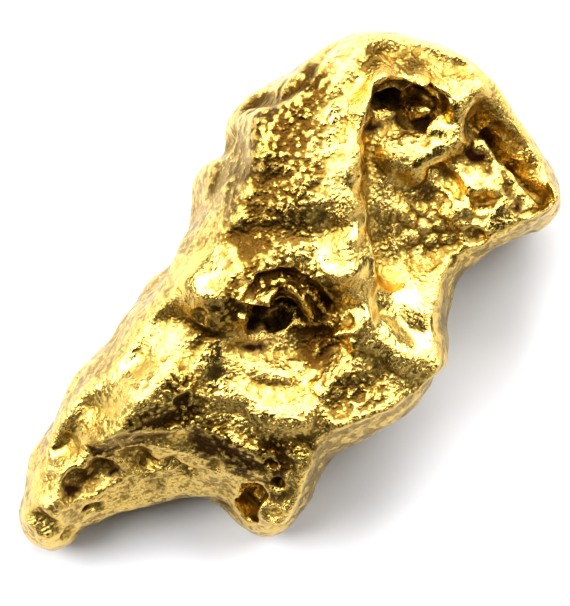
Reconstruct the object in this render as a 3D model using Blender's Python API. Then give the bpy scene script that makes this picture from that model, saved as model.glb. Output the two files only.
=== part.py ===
"""A natural gold nugget: one water-worn lump of native gold, lying face up on its worn feet.

Run it with: blender --background --python part.py
It is modelled in millimetres on a plan of its upper face and scaled to metres at the end.
"""

import math

import bmesh
import bpy
import numpy as np
from mathutils import Vector, noise

MM = 0.001

# Driving dimensions, in millimetres and degrees.
LENGTH = 16.4  # from the tip of the arm to the far end of the head
DRAWN_LENGTH = 16.4  # the length at which every plan point below is drawn
LONG_AXIS_DEG = 32.6  # the long axis runs up to the right on the plan by this much
WEAR = 0.06  # the feet are worn flat by this much
TOP_FULLNESS = 1.5  # how the flank above the widest line bulges: 1 is straight, 2 is round
UNDER_FULLNESS = 2.2  # the same below it
UNDER_ROUNDING = 1.7  # how far in from the outline the underside rounds over
SPOT_REACH = 0.8  # how far one spot height spreads
RAGGED = 0.4  # how unevenly a form spreads
SKIN_CELL = 0.07  # cell of the even skin that the forms are worked on
FACES = 9400  # triangles of the finished solid

GOLD_COLOUR = (0.78, 0.53, 0.14, 1.0)
GOLD_ROUGHNESS = 0.3

# The outline seen from above, clockwise from the tip of the arm: x to the right, y away.
OUTLINE = [
    (-6.90, -5.62), (-6.81, -5.07), (-6.50, -4.15), (-6.04, -3.14), (-5.29, -1.79), (-4.52, -0.95),
    (-3.90, 0.00), (-3.02, 1.25), (-2.37, 2.12), (-2.03, 3.12), (-1.71, 3.85), (-1.50, 4.68),
    (-0.90, 5.35), (0.00, 5.88), (0.72, 6.37), (1.60, 6.75), (2.41, 6.82), (3.33, 6.66),
    (4.54, 6.22), (5.17, 5.60), (5.75, 4.77), (6.62, 3.71), (7.05, 2.75), (6.76, 2.07),
    (5.80, 1.49), (4.83, 0.98), (4.40, 0.62), (4.25, 0.00), (4.15, -0.48), (4.18, -0.98),
    (4.00, -1.70), (3.62, -2.45), (3.00, -3.05), (2.08, -3.53), (1.22, -3.98), (0.88, -4.55),
    (0.58, -5.28), (0.12, -5.78), (-0.45, -6.02), (-1.00, -5.87), (-1.38, -5.50), (-1.80, -5.24),
    (-2.52, -5.20), (-3.35, -5.45), (-4.42, -5.62), (-5.12, -5.80), (-5.46, -6.12), (-5.90, -6.43),
    (-6.20, -6.42), (-6.62, -6.15),
]

# Spots of the widest line: (x, y, its height, how wide the flank above it shows in plan).
EDGE_SPOTS = [
    (-6.6, -5.6, 0.9, 0.3), (-5.9, -6.3, 0.7, 0.5), (-6.0, -3.1, 1.2, 0.32), (-4.2, -0.5, 1.4, 0.75),
    (-2.4, 2.1, 1.6, 1.0), (-1.7, 3.8, 1.6, 1.5), (-1.0, 5.1, 1.8, 1.2), (0.5, 6.2, 1.9, 0.4),
    (2.4, 6.8, 1.9, 0.3), (4.5, 6.2, 2.1, 0.25), (5.6, 4.9, 1.9, 0.13), (6.8, 3.3, 1.7, 0.13),
    (7.0, 2.6, 1.6, 0.5), (5.8, 1.5, 1.5, 0.6), (4.4, 0.5, 1.3, 0.5), (4.1, -1.2, 1.4, 0.5),
    (3.4, -2.7, 1.4, 1.0), (2.1, -3.5, 1.4, 0.9), (1.2, -4.1, 1.2, 0.6), (0.5, -5.2, 0.8, 0.5),
    (-0.5, -6.0, 0.7, 0.6), (-1.6, -5.3, 0.9, 1.2), (-3.2, -5.4, 0.9, 2.0), (-4.6, -5.6, 0.9, 1.4),
]

# Spot heights of the upper surface.
TOP_SPOTS = [
    (-6.5, -5.6, 1.7), (-5.9, -5.1, 2.4), (-5.3, -4.4, 2.9), (-4.6, -3.6, 3.45), (-3.9, -2.9, 3.9),
    (-3.5, -2.2, 4.1), (-2.4, -1.4, 4.4), (-5.0, -4.7, 2.6), (-3.0, -3.2, 3.8), (-1.9, -3.3, 3.85),
    (-2.6, -2.6, 3.9), (-1.6, -2.2, 4.1), (-1.1, -3.8, 3.4), (-3.1, -4.3, 1.95), (-2.0, -4.4, 1.95),
    (-4.4, -4.6, 1.8), (-6.2, -4.3, 2.6), (-5.7, -3.3, 2.85), (-4.9, -2.2, 3.3), (-3.4, -1.5, 4.0),
    (-1.75, 0.5, 4.9), (-1.1, 0.9, 5.1), (-2.3, -0.4, 4.3), (0.1, 0.8, 4.9), (1.1, 0.4, 4.9),
    (1.7, -0.1, 4.7), (0.4, 3.3, 5.4), (-0.4, 3.6, 5.2), (-0.6, 2.2, 5.0), (1.0, 4.8, 5.35),
    (1.5, 2.8, 5.4), (1.6, 1.2, 5.1), (1.95, 1.2, 5.1), (1.9, 2.5, 5.2), (1.85, 3.6, 5.2),
    (2.0, 0.3, 4.8), (1.9, 6.0, 5.2), (0.7, 5.6, 5.35), (-0.5, 4.8, 5.05), (2.9, 5.9, 4.5),
    (3.0, 5.3, 5.2), (4.1, 5.6, 4.3), (4.0, 5.0, 4.9), (5.0, 4.9, 4.2), (6.0, 3.9, 3.7),
    (6.6, 3.0, 3.2), (2.9, 4.6, 4.3), (3.0, 3.7, 4.1), (2.6, 2.8, 2.8), (4.4, 4.6, 4.3),
    (4.0, 3.5, 3.75), (5.2, 3.9, 3.5), (5.0, 3.0, 3.85), (6.0, 3.3, 3.15), (5.8, 2.5, 3.5),
    (5.3, 2.4, 3.75), (3.6, 2.0, 2.9), (2.9, 1.2, 2.4), (2.9, 0.1, 3.85), (3.7, -0.3, 4.0),
    (2.9, -0.5, 4.15), (2.9, -1.1, 4.1), (3.8, -1.4, 3.6), (2.1, -1.7, 4.4), (1.1, -2.4, 4.4),
    (2.9, -2.2, 3.7), (1.7, -3.1, 3.6), (-0.1, -1.7, 4.0), (0.1, -3.2, 4.1), (-0.9, -3.2, 3.9),
    (0.1, -4.6, 3.2), (-0.4, -5.4, 2.2),
]

# Spot heights of the underside: 0 or less is worn flat where it stands.
UNDER_SPOTS = [
    (-6.0, -5.8, -0.3), (-4.8, -4.8, 0.4), (-3.3, -3.9, 0.8), (-2.0, -3.4, 0.6), (-0.5, -5.2, -0.3),
    (0.4, -3.5, 0.3), (1.6, -2.6, 0.6), (2.9, -1.4, 0.7), (-4.6, -2.6, 0.3), (-3.0, -0.8, 0.2),
    (-1.6, 1.0, -0.2), (-0.6, 3.2, -0.3), (0.5, 4.9, 0.1), (0.8, 0.8, 0.5), (2.0, 2.6, 0.3),
    (2.6, 5.3, 0.1), (4.4, 4.4, -0.3), (5.4, 3.0, -0.3), (6.2, 2.6, 0.3), (3.6, 1.2, 0.8),
]


def turned(points):
    """Plan points turned so that the long axis lies along X."""
    a = math.radians(-LONG_AXIS_DEG)
    turn = np.array([[math.cos(a), -math.sin(a)], [math.sin(a), math.cos(a)]])
    points = np.array(points, float)
    points[:, :2] = points[:, :2] @ turn.T
    return points


def smooth_loop(points, steps=6):
    """A closed Catmull-Rom curve through the points."""
    before, after = np.roll(points, 1, 0), np.roll(points, -1, 0)
    beyond = np.roll(points, -2, 0)
    t = (np.arange(steps) / steps)[None, :, None]
    a, b, c, d = (p[:, None, :] for p in (before, points, after, beyond))
    curve = 0.5 * (2 * b + (c - a) * t + (2 * a - 5 * b + 4 * c - d) * t**2 + (3 * b - a - 3 * c + d) * t**3)
    return curve.reshape(-1, 2)


def depth_inside(xy, loop):
    """How far each plan point lies inside the loop."""
    start, run = loop, np.roll(loop, -1, 0) - loop
    nearest = np.full(len(xy), 1e9)
    for s, r in zip(start, run):
        t = np.clip(((xy - s) @ r) / (r @ r), 0, 1)
        nearest = np.minimum(nearest, np.hypot(*(xy - s - t[:, None] * r).T))
    return nearest


def spot_values(xy, spots, reach=SPOT_REACH):
    """The smooth surfaces through the spots' values, read at each plan point."""
    spots = turned(spots)
    gap = ((xy[:, None, :] - spots[None, :, :2]) ** 2).sum(2)
    weight = np.exp(-gap / (2 * reach**2)) + 1e-9 / (gap + 0.1)
    return (weight @ spots[:, 2:] / weight.sum(1)[:, None]).T


def rounding(depth, width, fullness):
    """0 on the outline, rising like a round edge to 1 at width inside it."""
    t = np.clip(depth / width, 0, 1)
    return (1 - (1 - t) ** fullness) ** (1 / fullness)


def blank():
    """The whole lump without its forms: a ball drawn out to the outline and the spot heights."""
    bm = bmesh.new()
    bmesh.ops.create_icosphere(bm, subdivisions=7, radius=1.0)
    ball = np.array([v.co for v in bm.verts])
    loop = smooth_loop(turned(OUTLINE))
    low, high = loop[:, 0].min(), loop[:, 0].max()
    middle, half = (low + high) / 2, (high - low) / 2
    tip, end = int(loop[:, 0].argmin()), int(loop[:, 0].argmax())
    around = np.roll(loop, -tip, 0)
    end = (end - tip) % len(loop)
    sides = []
    for side in (around[: end + 1], np.vstack([around[end:], around[:1]])[::-1]):
        swing = np.arcsin(np.clip((side[:, 0] - middle) / half, -1, 1))
        sides.append((swing, side[:, 1]))
    swing = np.arcsin(np.clip(ball[:, 0], -1, 1))
    far, near = (np.interp(swing, s, y) for s, y in sides)
    around_section = np.hypot(ball[:, 1], ball[:, 2]) + 1e-9
    across = ball[:, 1] / around_section
    x = middle + half * ball[:, 0]
    y = (far + near) / 2 + (far - near) / 2 * across
    xy = np.column_stack([x, y])
    depth = depth_inside(xy, loop)
    edge, width = spot_values(xy, EDGE_SPOTS, 1.0)
    (top,), (under,) = spot_values(xy, TOP_SPOTS), spot_values(xy, UNDER_SPOTS)
    top = edge + (top - edge) * rounding(depth, width, TOP_FULLNESS)
    under = edge + (under - edge) * rounding(depth, UNDER_ROUNDING, UNDER_FULLNESS)
    z = np.where(ball[:, 2] >= 0, top, under)
    for vert, co in zip(bm.verts, np.column_stack([x, y, z])):
        vert.co = co
    return bm


# The forms worked into the skin, in the order they are worked:
# (name, profile, reach, rise, lean, plan points of its line). Rise is along the surface's own
# facing, and lean carries the floor of a hole sideways under its rim, in plan.
FORMS = [
    # the arm
    ("arm_ridge", "dome", 0.7, 0.25, (0, 0),
     [(-6.0, -5.3), (-5.4, -4.5), (-4.7, -3.7), (-3.9, -2.9), (-2.8, -2.1)]),
    ("arm_north_cheek", "dome", 0.7, 0.16, (0, 0), [(-3.7, -1.9), (-2.9, -1.2)]),
    ("arm_ledge", "crest", 0.45, 0.2, (0, 0),
     [(-4.7, -3.5), (-3.9, -3.2), (-2.9, -3.3), (-2.2, -3.15), (-1.3, -3.5), (-0.6, -3.95)]),
    ("arm_pit_wide", "bowl", 0.52, -0.4, (0, 0), [(-5.2, -4.8), (-4.8, -4.75), (-4.55, -4.5)]),
    ("arm_pit_round", "bowl", 0.44, -0.36, (0, 0), [(-3.8, -4.1), (-3.4, -4.35)]),
    ("arm_pit_long", "bowl", 0.34, -0.28, (0, 0), [(-2.95, -4.2), (-2.45, -4.4)]),
    ("arm_pit_small", "bowl", 0.26, -0.18, (0, 0), [(-1.8, -4.2)]),
    ("arm_slit", "dome", 0.24, -0.2, (0, 0), [(-4.95, -5.45), (-4.6, -5.35)]),
    ("tip_pit", "dome", 0.45, -0.28, (0, 0), [(-6.3, -5.7), (-6.1, -5.85)]),
    ("heel_notch", "dome", 0.3, -0.2, (0, 0), [(-5.35, -5.95)]),
    # the shoulder and the back
    ("shoulder", "dome", 1.2, 0.4, (0, 0), [(-1.8, 0.1), (-1.1, 0.4)]),
    ("shoulder_dent", "bowl", 0.22, -0.18, (0, 0), [(-2.25, -0.4)]),
    ("back_lobe", "dome", 0.8, 0.15, (0, 0), [(-0.9, 4.4), (-0.8, 3.7)]),
    ("back_valley", "dome", 0.45, -0.25, (0, 0), [(0.9, 6.4), (0.3, 5.6), (-0.4, 5.15), (-1.0, 5.1)]),
    ("back_dome", "dome", 1.3, 0.2, (0, 0), [(0.5, 3.2), (0.3, 2.4)]),
    ("back_knee", "dome", 0.8, 0.3, (0, 0), [(1.4, 1.0)]),
    # the basin beside the crisp crest
    ("basin_foot", "dome", 0.6, -0.4, (0, 0),
     [(2.5, 4.1), (2.4, 3.5), (2.45, 2.5), (2.6, 1.5), (2.75, 0.9)]),
    ("basin_rough", "dome", 0.8, 0.2, (0, 0), [(3.2, 2.4), (3.7, 1.7), (4.2, 2.4)]),
    ("basin_hollow", "dome", 1.4, -0.15, (0, 0), [(3.1, 1.6), (3.5, 1.5)]),
    ("back_crest", "dome", 0.75, 0.28, (0, 0),
     [(2.2, 5.6), (1.6, 5.0), (1.35, 4.1), (1.4, 2.8), (1.55, 1.7), (1.75, 0.6), (1.9, -0.1)]),
    ("back_edge", "crest", 0.5, 0.28, (0, 0),
     [(2.15, 5.2), (1.85, 4.6), (1.8, 3.8), (1.8, 3.0), (1.95, 2.1), (2.1, 1.4), (2.2, 0.6)]),
    # the north cavity and its cave
    ("north_rim", "dome", 0.6, 0.22, (0, 0), [(2.6, 5.55), (3.3, 5.45), (3.9, 5.15)]),
    ("north_cavity", "bowl", 0.42, -0.5, (0, 0.15), [(2.6, 4.85), (3.2, 4.9), (3.7, 4.7)]),
    ("cavity_floor", "dome", 0.9, -0.4, (0, 0), [(2.7, 4.35), (3.4, 4.3)]),
    ("cave_side", "bowl", 0.3, -0.25, (0, 0.15), [(3.1, 4.95), (3.45, 4.9)]),
    ("cave", "bowl", 0.36, -0.7, (-0.05, 0.2), [(2.45, 4.85), (2.8, 4.9)]),
    ("cavity_step", "dome", 0.5, 0.1, (0, 0), [(2.4, 4.0), (2.9, 3.8), (3.3, 4.1)]),
    # the web and the head
    ("head_basin", "dome", 0.8, -0.35, (0, 0), [(5.2, 4.3), (5.7, 3.9), (6.3, 3.3)]),
    ("web", "dome", 0.55, 0.3, (0, 0),
     [(4.65, 5.3), (4.6, 4.9), (4.35, 4.45), (4.25, 3.9), (3.7, 3.5), (3.3, 3.2)]),
    ("head_trench", "bowl", 0.32, -0.45, (0.08, 0.08), [(5.22, 4.12), (5.85, 3.42), (6.35, 2.8)]),
    ("head_rim", "dome", 0.35, 0.12, (0, 0), [(4.85, 5.25), (5.43, 4.5), (6.25, 3.5), (6.7, 2.7)]),
    ("head_lip", "crest", 0.3, 0.2, (0, 0), [(6.75, 3.0), (6.7, 2.4), (6.2, 2.05)]),
    ("head_pit", "bowl", 0.36, -0.5, (0, 0.1), [(4.95, 4.35)]),
    ("rough_pit", "bowl", 0.36, -0.35, (0, 0), [(3.8, 3.1), (4.2, 2.95)]),
    ("ledge_pit_far", "bowl", 0.28, -0.3, (0, 0), [(4.9, 2.4), (5.3, 2.4)]),
    ("ledge_pit_near", "bowl", 0.26, -0.3, (0, 0), [(4.8, 1.5)]),
    # the saddle and its ridge
    ("saddle_ridge", "dome", 0.75, 0.33, (0, 0), [(1.9, -0.8), (2.5, -1.05), (3.1, -1.3), (3.9, -1.5)]),
    ("south_east_edge", "crest", 0.5, 0.28, (0, 0), [(3.8, -1.6), (3.2, -2.2), (2.3, -2.75), (1.4, -3.1)]),
    # the heart: a hollow with a hole under a curled lobe
    ("heart_hollow", "dome", 1.6, -0.62, (0, 0), [(-0.1, -0.9), (0.5, -1.1)]),
    ("heart_hole", "bowl", 0.5, -1.2, (-0.05, 0.15), [(-0.45, -0.5), (0.0, -0.4)]),
    ("heart_lobe", "dome", 0.4, 0.25, (0.05, -0.05), [(-0.95, 0.05), (-0.6, -0.0)]),
    ("heart_edge", "crest", 0.28, 0.2, (0, 0),
     [(-0.35, 0.25), (0.1, 0.2), (0.5, -0.15), (0.7, -0.6), (1.3, -0.75)]),
    # the south foot
    ("foot_ridge", "dome", 0.7, 0.3, (0, 0), [(0.5, -4.2), (0.3, -4.9), (-0.1, -5.5)]),
    ("foot_hole", "bowl", 0.38, -0.9, (0, 0), [(-1.15, -5.35), (-0.85, -5.05)]),
    ("foot_notch", "bowl", 0.22, -0.3, (0, 0), [(-0.35, -4.6)]),
    ("foot_ring", "bowl", 0.16, -0.14, (0, 0), [(-0.42, -4.15)]),
    ("foot_dent", "bowl", 0.26, -0.15, (0, 0), [(-0.6, -5.5), (-0.3, -5.55)]),
    # the flanks: these lines are given in the round, as x, y and height
    ("north_west_dent", "dome", 1.1, -0.3, (0, 0), [(-3.4, 0.8, 2.8), (-3.0, 1.2, 1.6)]),
    ("north_west_swell", "dome", 1.1, 0.25, (0, 0), [(-2.1, 3.4, 2.4), (-1.9, 2.6, 1.2)]),
    ("lobe_crease", "dome", 0.5, -0.22, (0, 0), [(-1.3, 4.1, 3.4), (-1.7, 3.8, 2.2), (-1.6, 4.0, 1.0)]),
    ("arm_north_pit", "bowl", 0.36, -0.25, (0, 0), [(-5.5, -2.1, 1.9), (-5.3, -1.8, 1.7)]),
    ("arm_north_dent", "bowl", 0.5, -0.22, (0, 0), [(-4.4, -0.8, 1.5)]),
    ("tip_swell", "dome", 0.9, 0.2, (0, 0), [(-6.4, -3.9, 1.2)]),
    ("north_hollow", "dome", 1.0, -0.3, (0, 0), [(0.3, 6.2, 1.6), (1.0, 6.5, 2.6)]),
    ("north_swell", "dome", 0.9, 0.18, (0, 0), [(2.2, 6.8, 1.8)]),
    ("north_pit", "bowl", 0.34, -0.25, (0, 0), [(3.0, 6.7, 2.3)]),
    ("north_east_hollow", "dome", 1.0, -0.28, (0, 0), [(5.0, 5.8, 1.5), (5.7, 4.9, 1.2)]),
    ("head_side_pit", "bowl", 0.32, -0.22, (0, 0), [(6.7, 3.6, 1.5)]),
    ("head_side_dent", "dome", 0.8, -0.25, (0, 0), [(5.7, 1.4, 1.9), (5.0, 1.0, 1.2)]),
    ("saddle_wall", "dome", 0.7, -0.2, (0, 0), [(4.3, 0.1, 0.9)]),
    ("south_east_undercut", "dome", 1.1, -0.35, (0, 0),
     [(3.9, -2.0, 1.0), (3.0, -3.0, 1.0), (1.9, -3.6, 0.9)]),
    ("south_east_pit", "bowl", 0.36, -0.25, (0, 0), [(2.6, -3.2, 2.1)]),
    ("arm_undercut", "dome", 0.9, -0.25, (0, 0), [(-4.2, -5.5, 0.7), (-2.6, -5.2, 0.7)]),
    # the underside
    ("belly_hollow", "dome", 1.6, -0.4, (0, 0), [(0.9, 0.9, 0), (0.0, -1.2, 0)]),
    ("head_hollow_below", "dome", 1.1, -0.35, (0, 0), [(2.2, 4.0, 0), (3.4, 2.6, 0)]),
    ("arm_hollow_below", "dome", 1.1, -0.3, (0, 0), [(-3.8, -2.6, 0), (-2.6, -2.4, 0)]),
    ("belly_ridge", "crest", 0.6, 0.25, (0, 0), [(1.4, -1.8, 0), (0.6, -0.2, 0), (0.9, 1.6, 0)]),
    ("belly_pit", "bowl", 0.5, -0.35, (0, 0), [(-1.2, -1.4, 0), (-0.8, -1.6, 0)]),
    ("head_pit_below", "bowl", 0.4, -0.3, (0, 0), [(4.2, 1.9, 0)]),
    ("arm_pit_below", "bowl", 0.4, -0.25, (0, 0), [(-4.9, -3.9, 0), (-4.6, -3.8, 0)]),
]

# The facets of the top, in the order they are cut: (name, reach, steepness, the way it faces in
# degrees round the plan, 0 right and 90 away, plan points of its line).
FACETS = [
    ("arm_streak", 0.85, 0.4, 110, [(-6.35, -5.1), (-5.85, -4.35), (-5.25, -3.65), (-4.6, -3.05)]),
    ("arm_turn", 1.7, 0.25, 42, [(-3.6, -1.8), (-3.0, -1.3)]),
    ("arm_blotch", 1.3, 0.3, 110, [(-3.9, -2.0), (-3.0, -1.35)]),
    ("arm_shade", 1, 0.35, 280, [(-4.2, -3.4), (-3.4, -3.0), (-2.3, -2.8), (-1.4, -3.0), (-0.6, -3.4)]),
    ("arm_cliff", 0.85, 0.35, 270,
     [(-4.4, -3.85), (-3.6, -3.75), (-2.6, -3.8), (-1.9, -3.75), (-1.1, -4.15), (-0.4, -4.6)]),
    ("shoulder_turn", 1.5, 0.15, 50, [(-1.6, 0.7)]),
    ("comma", 1.1, 0.35, 90, [(-1.9, 0.75), (-1.2, 1.05)]),
    ("comma_tail", 0.59, 0.3, 80, [(-1.75, 0.2), (-1.7, -0.2)]),
    ("heart_shade", 1, 0.4, 265, [(-0.6, 0.75), (0.2, 0.75), (0.8, 0.2)]),
    ("heart_left", 0.68, 0.75, 80, [(-1.15, -1.45), (-1.2, -1.9)]),
    ("heart_near", 0.85, 0.75, 85, [(-0.5, -2.3), (0.2, -2.45)]),
    ("heart_right", 0.61, 0.5, 100, [(0.9, -1.85), (1.35, -1.4)]),
    ("heart_middle", 0.59, 0.3, 80, [(-0.2, -1.6), (0.4, -1.5)]),
    ("crest_band", 0.8, 0.6, 122, [(2.3, 5.6), (1.63, 4.65), (1.33, 3.3), (1.4, 1.9), (1.5, 1.0)]),
    ("rim_north", 1.0, 0.6, 80, [(2.6, 5.75), (3.4, 5.65), (4.1, 5.25)]),
    ("rim_east", 0.5, 0.45, 50, [(5.0, 5.4), (5.62, 4.62), (6.42, 3.6), (6.85, 2.7)]),
    ("cavity_step_face", 0.9, 0.25, 90, [(2.7, 3.9), (3.3, 3.9)]),
    ("cavity_wedge_face", 0.61, 0.35, 80, [(3.1, 4.25), (3.6, 4.3)]),
    ("shelf_face", 0.48, 0.5, 90, [(4.65, 4.1), (5.05, 3.95)]),
    ("bump_face", 0.94, 0.6, 110, [(4.8, 3.35), (5.3, 3.05)]),
    ("bump_far_face", 0.71, 0.45, 100, [(5.75, 2.6), (6.1, 2.2)]),
    ("bump_near_face", 0.59, 0.35, 90, [(4.3, 2.35), (4.5, 2.0)]),
]

# The unevenness of the whole skin: (size of its waves, how high they stand).
WAVES = [(1.7, 0.10), (0.8, 0.06), (0.42, 0.025)]


def dome(r):
    """A soft swelling."""
    return (1 - r**2) ** 2


def crest(r):
    """A ridge that comes to an edge."""
    return (1 - r) ** 1.5


def bowl(r):
    """A nearly flat middle with steep sides."""
    t = np.clip((r - 0.15) / 0.85, 0, 1)
    return 1 - t * t * (3 - 2 * t)


def waves(co, size):
    """Smooth noise between -1 and 1, with waves of the given size."""
    return np.array([noise.noise(Vector(p) / size) for p in co.tolist()])


PROFILES = {"dome": dome, "crest": crest, "bowl": bowl}


class Skin:
    """The vertices of a mesh as they are worked, with the direction that each one faces."""

    def __init__(self, mesh):
        self.mesh = mesh
        mesh.calc_loop_triangles()
        self.faces = np.zeros(len(mesh.loop_triangles) * 3, np.int32)
        mesh.loop_triangles.foreach_get("vertices", self.faces)
        self.faces = self.faces.reshape(-1, 3)
        self.co = np.zeros(len(mesh.vertices) * 3, np.float32)
        mesh.vertices.foreach_get("co", self.co)
        self.co = self.co.reshape(-1, 3).astype(float)
        self.face_on()

    def face_on(self):
        a, b, c = (self.co[self.faces[:, i]] for i in range(3))
        flat = np.cross(b - a, c - a)
        total = np.zeros_like(self.co)
        for i in range(3):
            for axis in range(3):
                total[:, axis] += np.bincount(self.faces[:, i], flat[:, axis], len(self.co))
        self.normal = total / (np.linalg.norm(total, axis=1)[:, None] + 1e-12)

    def seed(self, point):
        """The vertex that shows at this plan point, or the nearest one to a point in the round."""
        gap = ((self.co[:, : len(point)] - point) ** 2).sum(1)
        if len(point) == 3:
            return int(gap.argmin())
        near = np.flatnonzero(gap < max(0.04, gap.min() * 4))
        return near[np.argmax(self.co[near, 2])]

    def work(self, profile, reach, rise, lean, points):
        seeds = [self.seed(p) for p in turned(points)]
        spots = self.co[seeds]
        facing = []
        for s in spots:
            close = ((self.co - s) ** 2).sum(1) < (0.8 * reach) ** 2
            mean = self.normal[close].sum(0)
            facing.append(mean / np.linalg.norm(mean))
        facing = np.array(facing)
        low, high = spots.min(0) - reach, spots.max(0) + reach
        near = np.flatnonzero(((self.co > low) & (self.co < high)).all(1))
        co = self.co[near]
        best = np.full(len(near), 1e9)
        way = np.zeros((len(near), 3))
        pairs = [(i, i + 1) for i in range(len(spots) - 1)] or [(0, 0)]
        for i, j in pairs:
            run = spots[j] - spots[i]
            t = np.clip((co - spots[i]) @ run / max(run @ run, 1e-9), 0, 1)[:, None]
            gap = np.linalg.norm(co - spots[i] - t * run, axis=1)
            closer = gap < best
            best[closer] = gap[closer]
            way[closer] = ((1 - t) * facing[i] + t * facing[j])[closer]
        best = best * (1 + RAGGED * waves(co, reach * 0.9))
        inside = best < reach
        near, way = near[inside], way[inside]
        amount = PROFILES[profile](best[inside] / reach)
        amount = amount * np.clip((self.normal[near] * way).sum(1) * 2 + 0.6, 0, 1)
        sideways = np.append(turned([lean])[0], 0)
        self.co[near] += amount[:, None] * (rise * way + sideways)
        self.face_on()

    def cut(self, reach, steepness, azimuth, points):
        """Tilts the top along a line of plan points, so that it faces the azimuth."""
        points = turned(points)
        height = self.co[[self.seed(p) for p in points], 2]
        a = math.radians(azimuth - LONG_AXIS_DEG)
        way = np.array([math.cos(a), math.sin(a)])
        best = np.full(len(self.co), 1e9)
        along, level = np.zeros(len(self.co)), np.zeros(len(self.co))
        pairs = [(i, i + 1) for i in range(len(points) - 1)] or [(0, 0)]
        for i, j in pairs:
            run = points[j] - points[i]
            t = np.clip((self.co[:, :2] - points[i]) @ run / max(run @ run, 1e-9), 0, 1)
            apart = self.co[:, :2] - points[i] - t[:, None] * run
            gap = np.hypot(*apart.T)
            closer = gap < best
            best[closer] = gap[closer]
            along[closer] = (apart @ way)[closer]
            level[closer] = ((1 - t) * height[i] + t * height[j])[closer]
        near = np.flatnonzero((best < reach * 1.5) & (np.abs(self.co[:, 2] - level) < 0.8))
        r = best[near] / reach * (1 + RAGGED * waves(self.co[near], reach * 0.9))
        amount = steepness * along[near] * np.clip(1 - r**2, 0, 1) ** 2
        self.co[near, 2] -= amount * np.clip(self.normal[near, 2] * 2, 0, 1)
        self.face_on()

    def write(self):
        self.mesh.vertices.foreach_set("co", self.co.astype(np.float32).ravel())
        self.mesh.update()


def applied(mesh, name, kind, **settings):
    """The mesh as one modifier leaves it."""
    obj = bpy.data.objects.new(name, mesh)
    bpy.context.collection.objects.link(obj)
    modifier = obj.modifiers.new(name, kind)
    for setting, value in settings.items():
        setattr(modifier, setting, value)
    made = bpy.data.meshes.new_from_object(obj.evaluated_get(bpy.context.evaluated_depsgraph_get()))
    bpy.data.objects.remove(obj)
    bpy.data.meshes.remove(mesh)
    return made


def even(mesh):
    """The same form with an even skin."""
    return applied(mesh, "Even skin", "REMESH", mode="VOXEL", voxel_size=SKIN_CELL)


def smoothed(mesh, times=1):
    bm = bmesh.new()
    bm.from_mesh(mesh)
    axes = {"use_axis_x": True, "use_axis_y": True, "use_axis_z": True}
    for _ in range(times):
        bmesh.ops.smooth_vert(bm, verts=bm.verts, factor=0.5, **axes)
    bm.to_mesh(mesh)
    bm.free()
    return mesh


def lightened(mesh, faces):
    """The same form with fewer triangles."""
    mesh.calc_loop_triangles()
    ratio = faces / len(mesh.loop_triangles)
    return applied(mesh, "Lighten", "DECIMATE", ratio=ratio, use_collapse_triangulate=True)


def rested(skin):
    """Wears the feet flat at the height of the surface the nugget lies on."""
    skin.co[:, 2] = np.where(skin.co[:, 2] < WEAR, 0, skin.co[:, 2])


def gold():
    material = bpy.data.materials.new("native_gold")
    material.use_nodes = True
    surface = material.node_tree.nodes["Principled BSDF"]
    surface.inputs["Base Color"].default_value = GOLD_COLOUR
    surface.inputs["Metallic"].default_value = 1.0
    surface.inputs["Roughness"].default_value = GOLD_ROUGHNESS
    return material


def nugget():
    mesh = bpy.data.meshes.new("blank")
    bm = blank()
    bm.to_mesh(mesh)
    bm.free()
    mesh = smoothed(even(mesh), 2)
    skin = Skin(mesh)
    for name, profile, reach, rise, lean, points in FORMS:
        skin.work(profile, reach, rise, lean, points)
    for name, reach, steepness, azimuth, points in FACETS:
        skin.cut(reach, steepness, azimuth, points)
    for size, height in WAVES:
        skin.co += (height * waves(skin.co, size))[:, None] * skin.normal
        skin.face_on()
    skin.write()
    mesh = lightened(smoothed(even(mesh)), FACES)
    skin = Skin(mesh)
    rested(skin)
    skin.co[:, :2] -= (skin.co[:, :2].min(0) + skin.co[:, :2].max(0)) / 2
    skin.co *= MM * LENGTH / DRAWN_LENGTH
    skin.write()
    mesh.name = "nugget"
    mesh.shade_smooth()
    mesh.materials.append(gold())
    obj = bpy.data.objects.new("nugget", mesh)
    bpy.context.collection.objects.link(obj)
    return obj


def main():
    for obj in list(bpy.data.objects):
        bpy.data.objects.remove(obj)
    nugget()


main()
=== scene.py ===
"""A natural gold nugget on a pale table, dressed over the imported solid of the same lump.

The file is laid out as an add-on with one operator for the nugget and one for the stage, and it
is run as a script: main() calls them in order.
"""

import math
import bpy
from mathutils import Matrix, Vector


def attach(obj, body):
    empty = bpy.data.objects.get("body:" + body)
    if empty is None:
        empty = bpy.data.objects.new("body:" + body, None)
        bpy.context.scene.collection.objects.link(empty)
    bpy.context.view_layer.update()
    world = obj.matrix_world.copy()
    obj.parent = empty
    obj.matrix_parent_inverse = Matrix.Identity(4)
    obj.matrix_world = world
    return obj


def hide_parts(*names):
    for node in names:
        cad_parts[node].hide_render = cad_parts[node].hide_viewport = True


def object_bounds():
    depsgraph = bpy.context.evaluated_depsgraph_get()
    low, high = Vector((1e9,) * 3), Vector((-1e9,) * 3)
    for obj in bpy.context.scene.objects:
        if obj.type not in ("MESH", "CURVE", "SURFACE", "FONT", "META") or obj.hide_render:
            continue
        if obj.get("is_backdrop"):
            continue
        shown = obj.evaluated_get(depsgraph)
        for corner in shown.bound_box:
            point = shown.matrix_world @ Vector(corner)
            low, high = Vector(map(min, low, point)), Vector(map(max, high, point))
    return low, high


bl_info = {
    "name": "Gold nugget",
    "version": (1, 0, 0),
    "blender": (4, 5, 0),
    "location": "View3D > Sidebar > Nugget",
    "description": "Sculpts a water-worn gold nugget and its table",
    "category": "Object",
}

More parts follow.
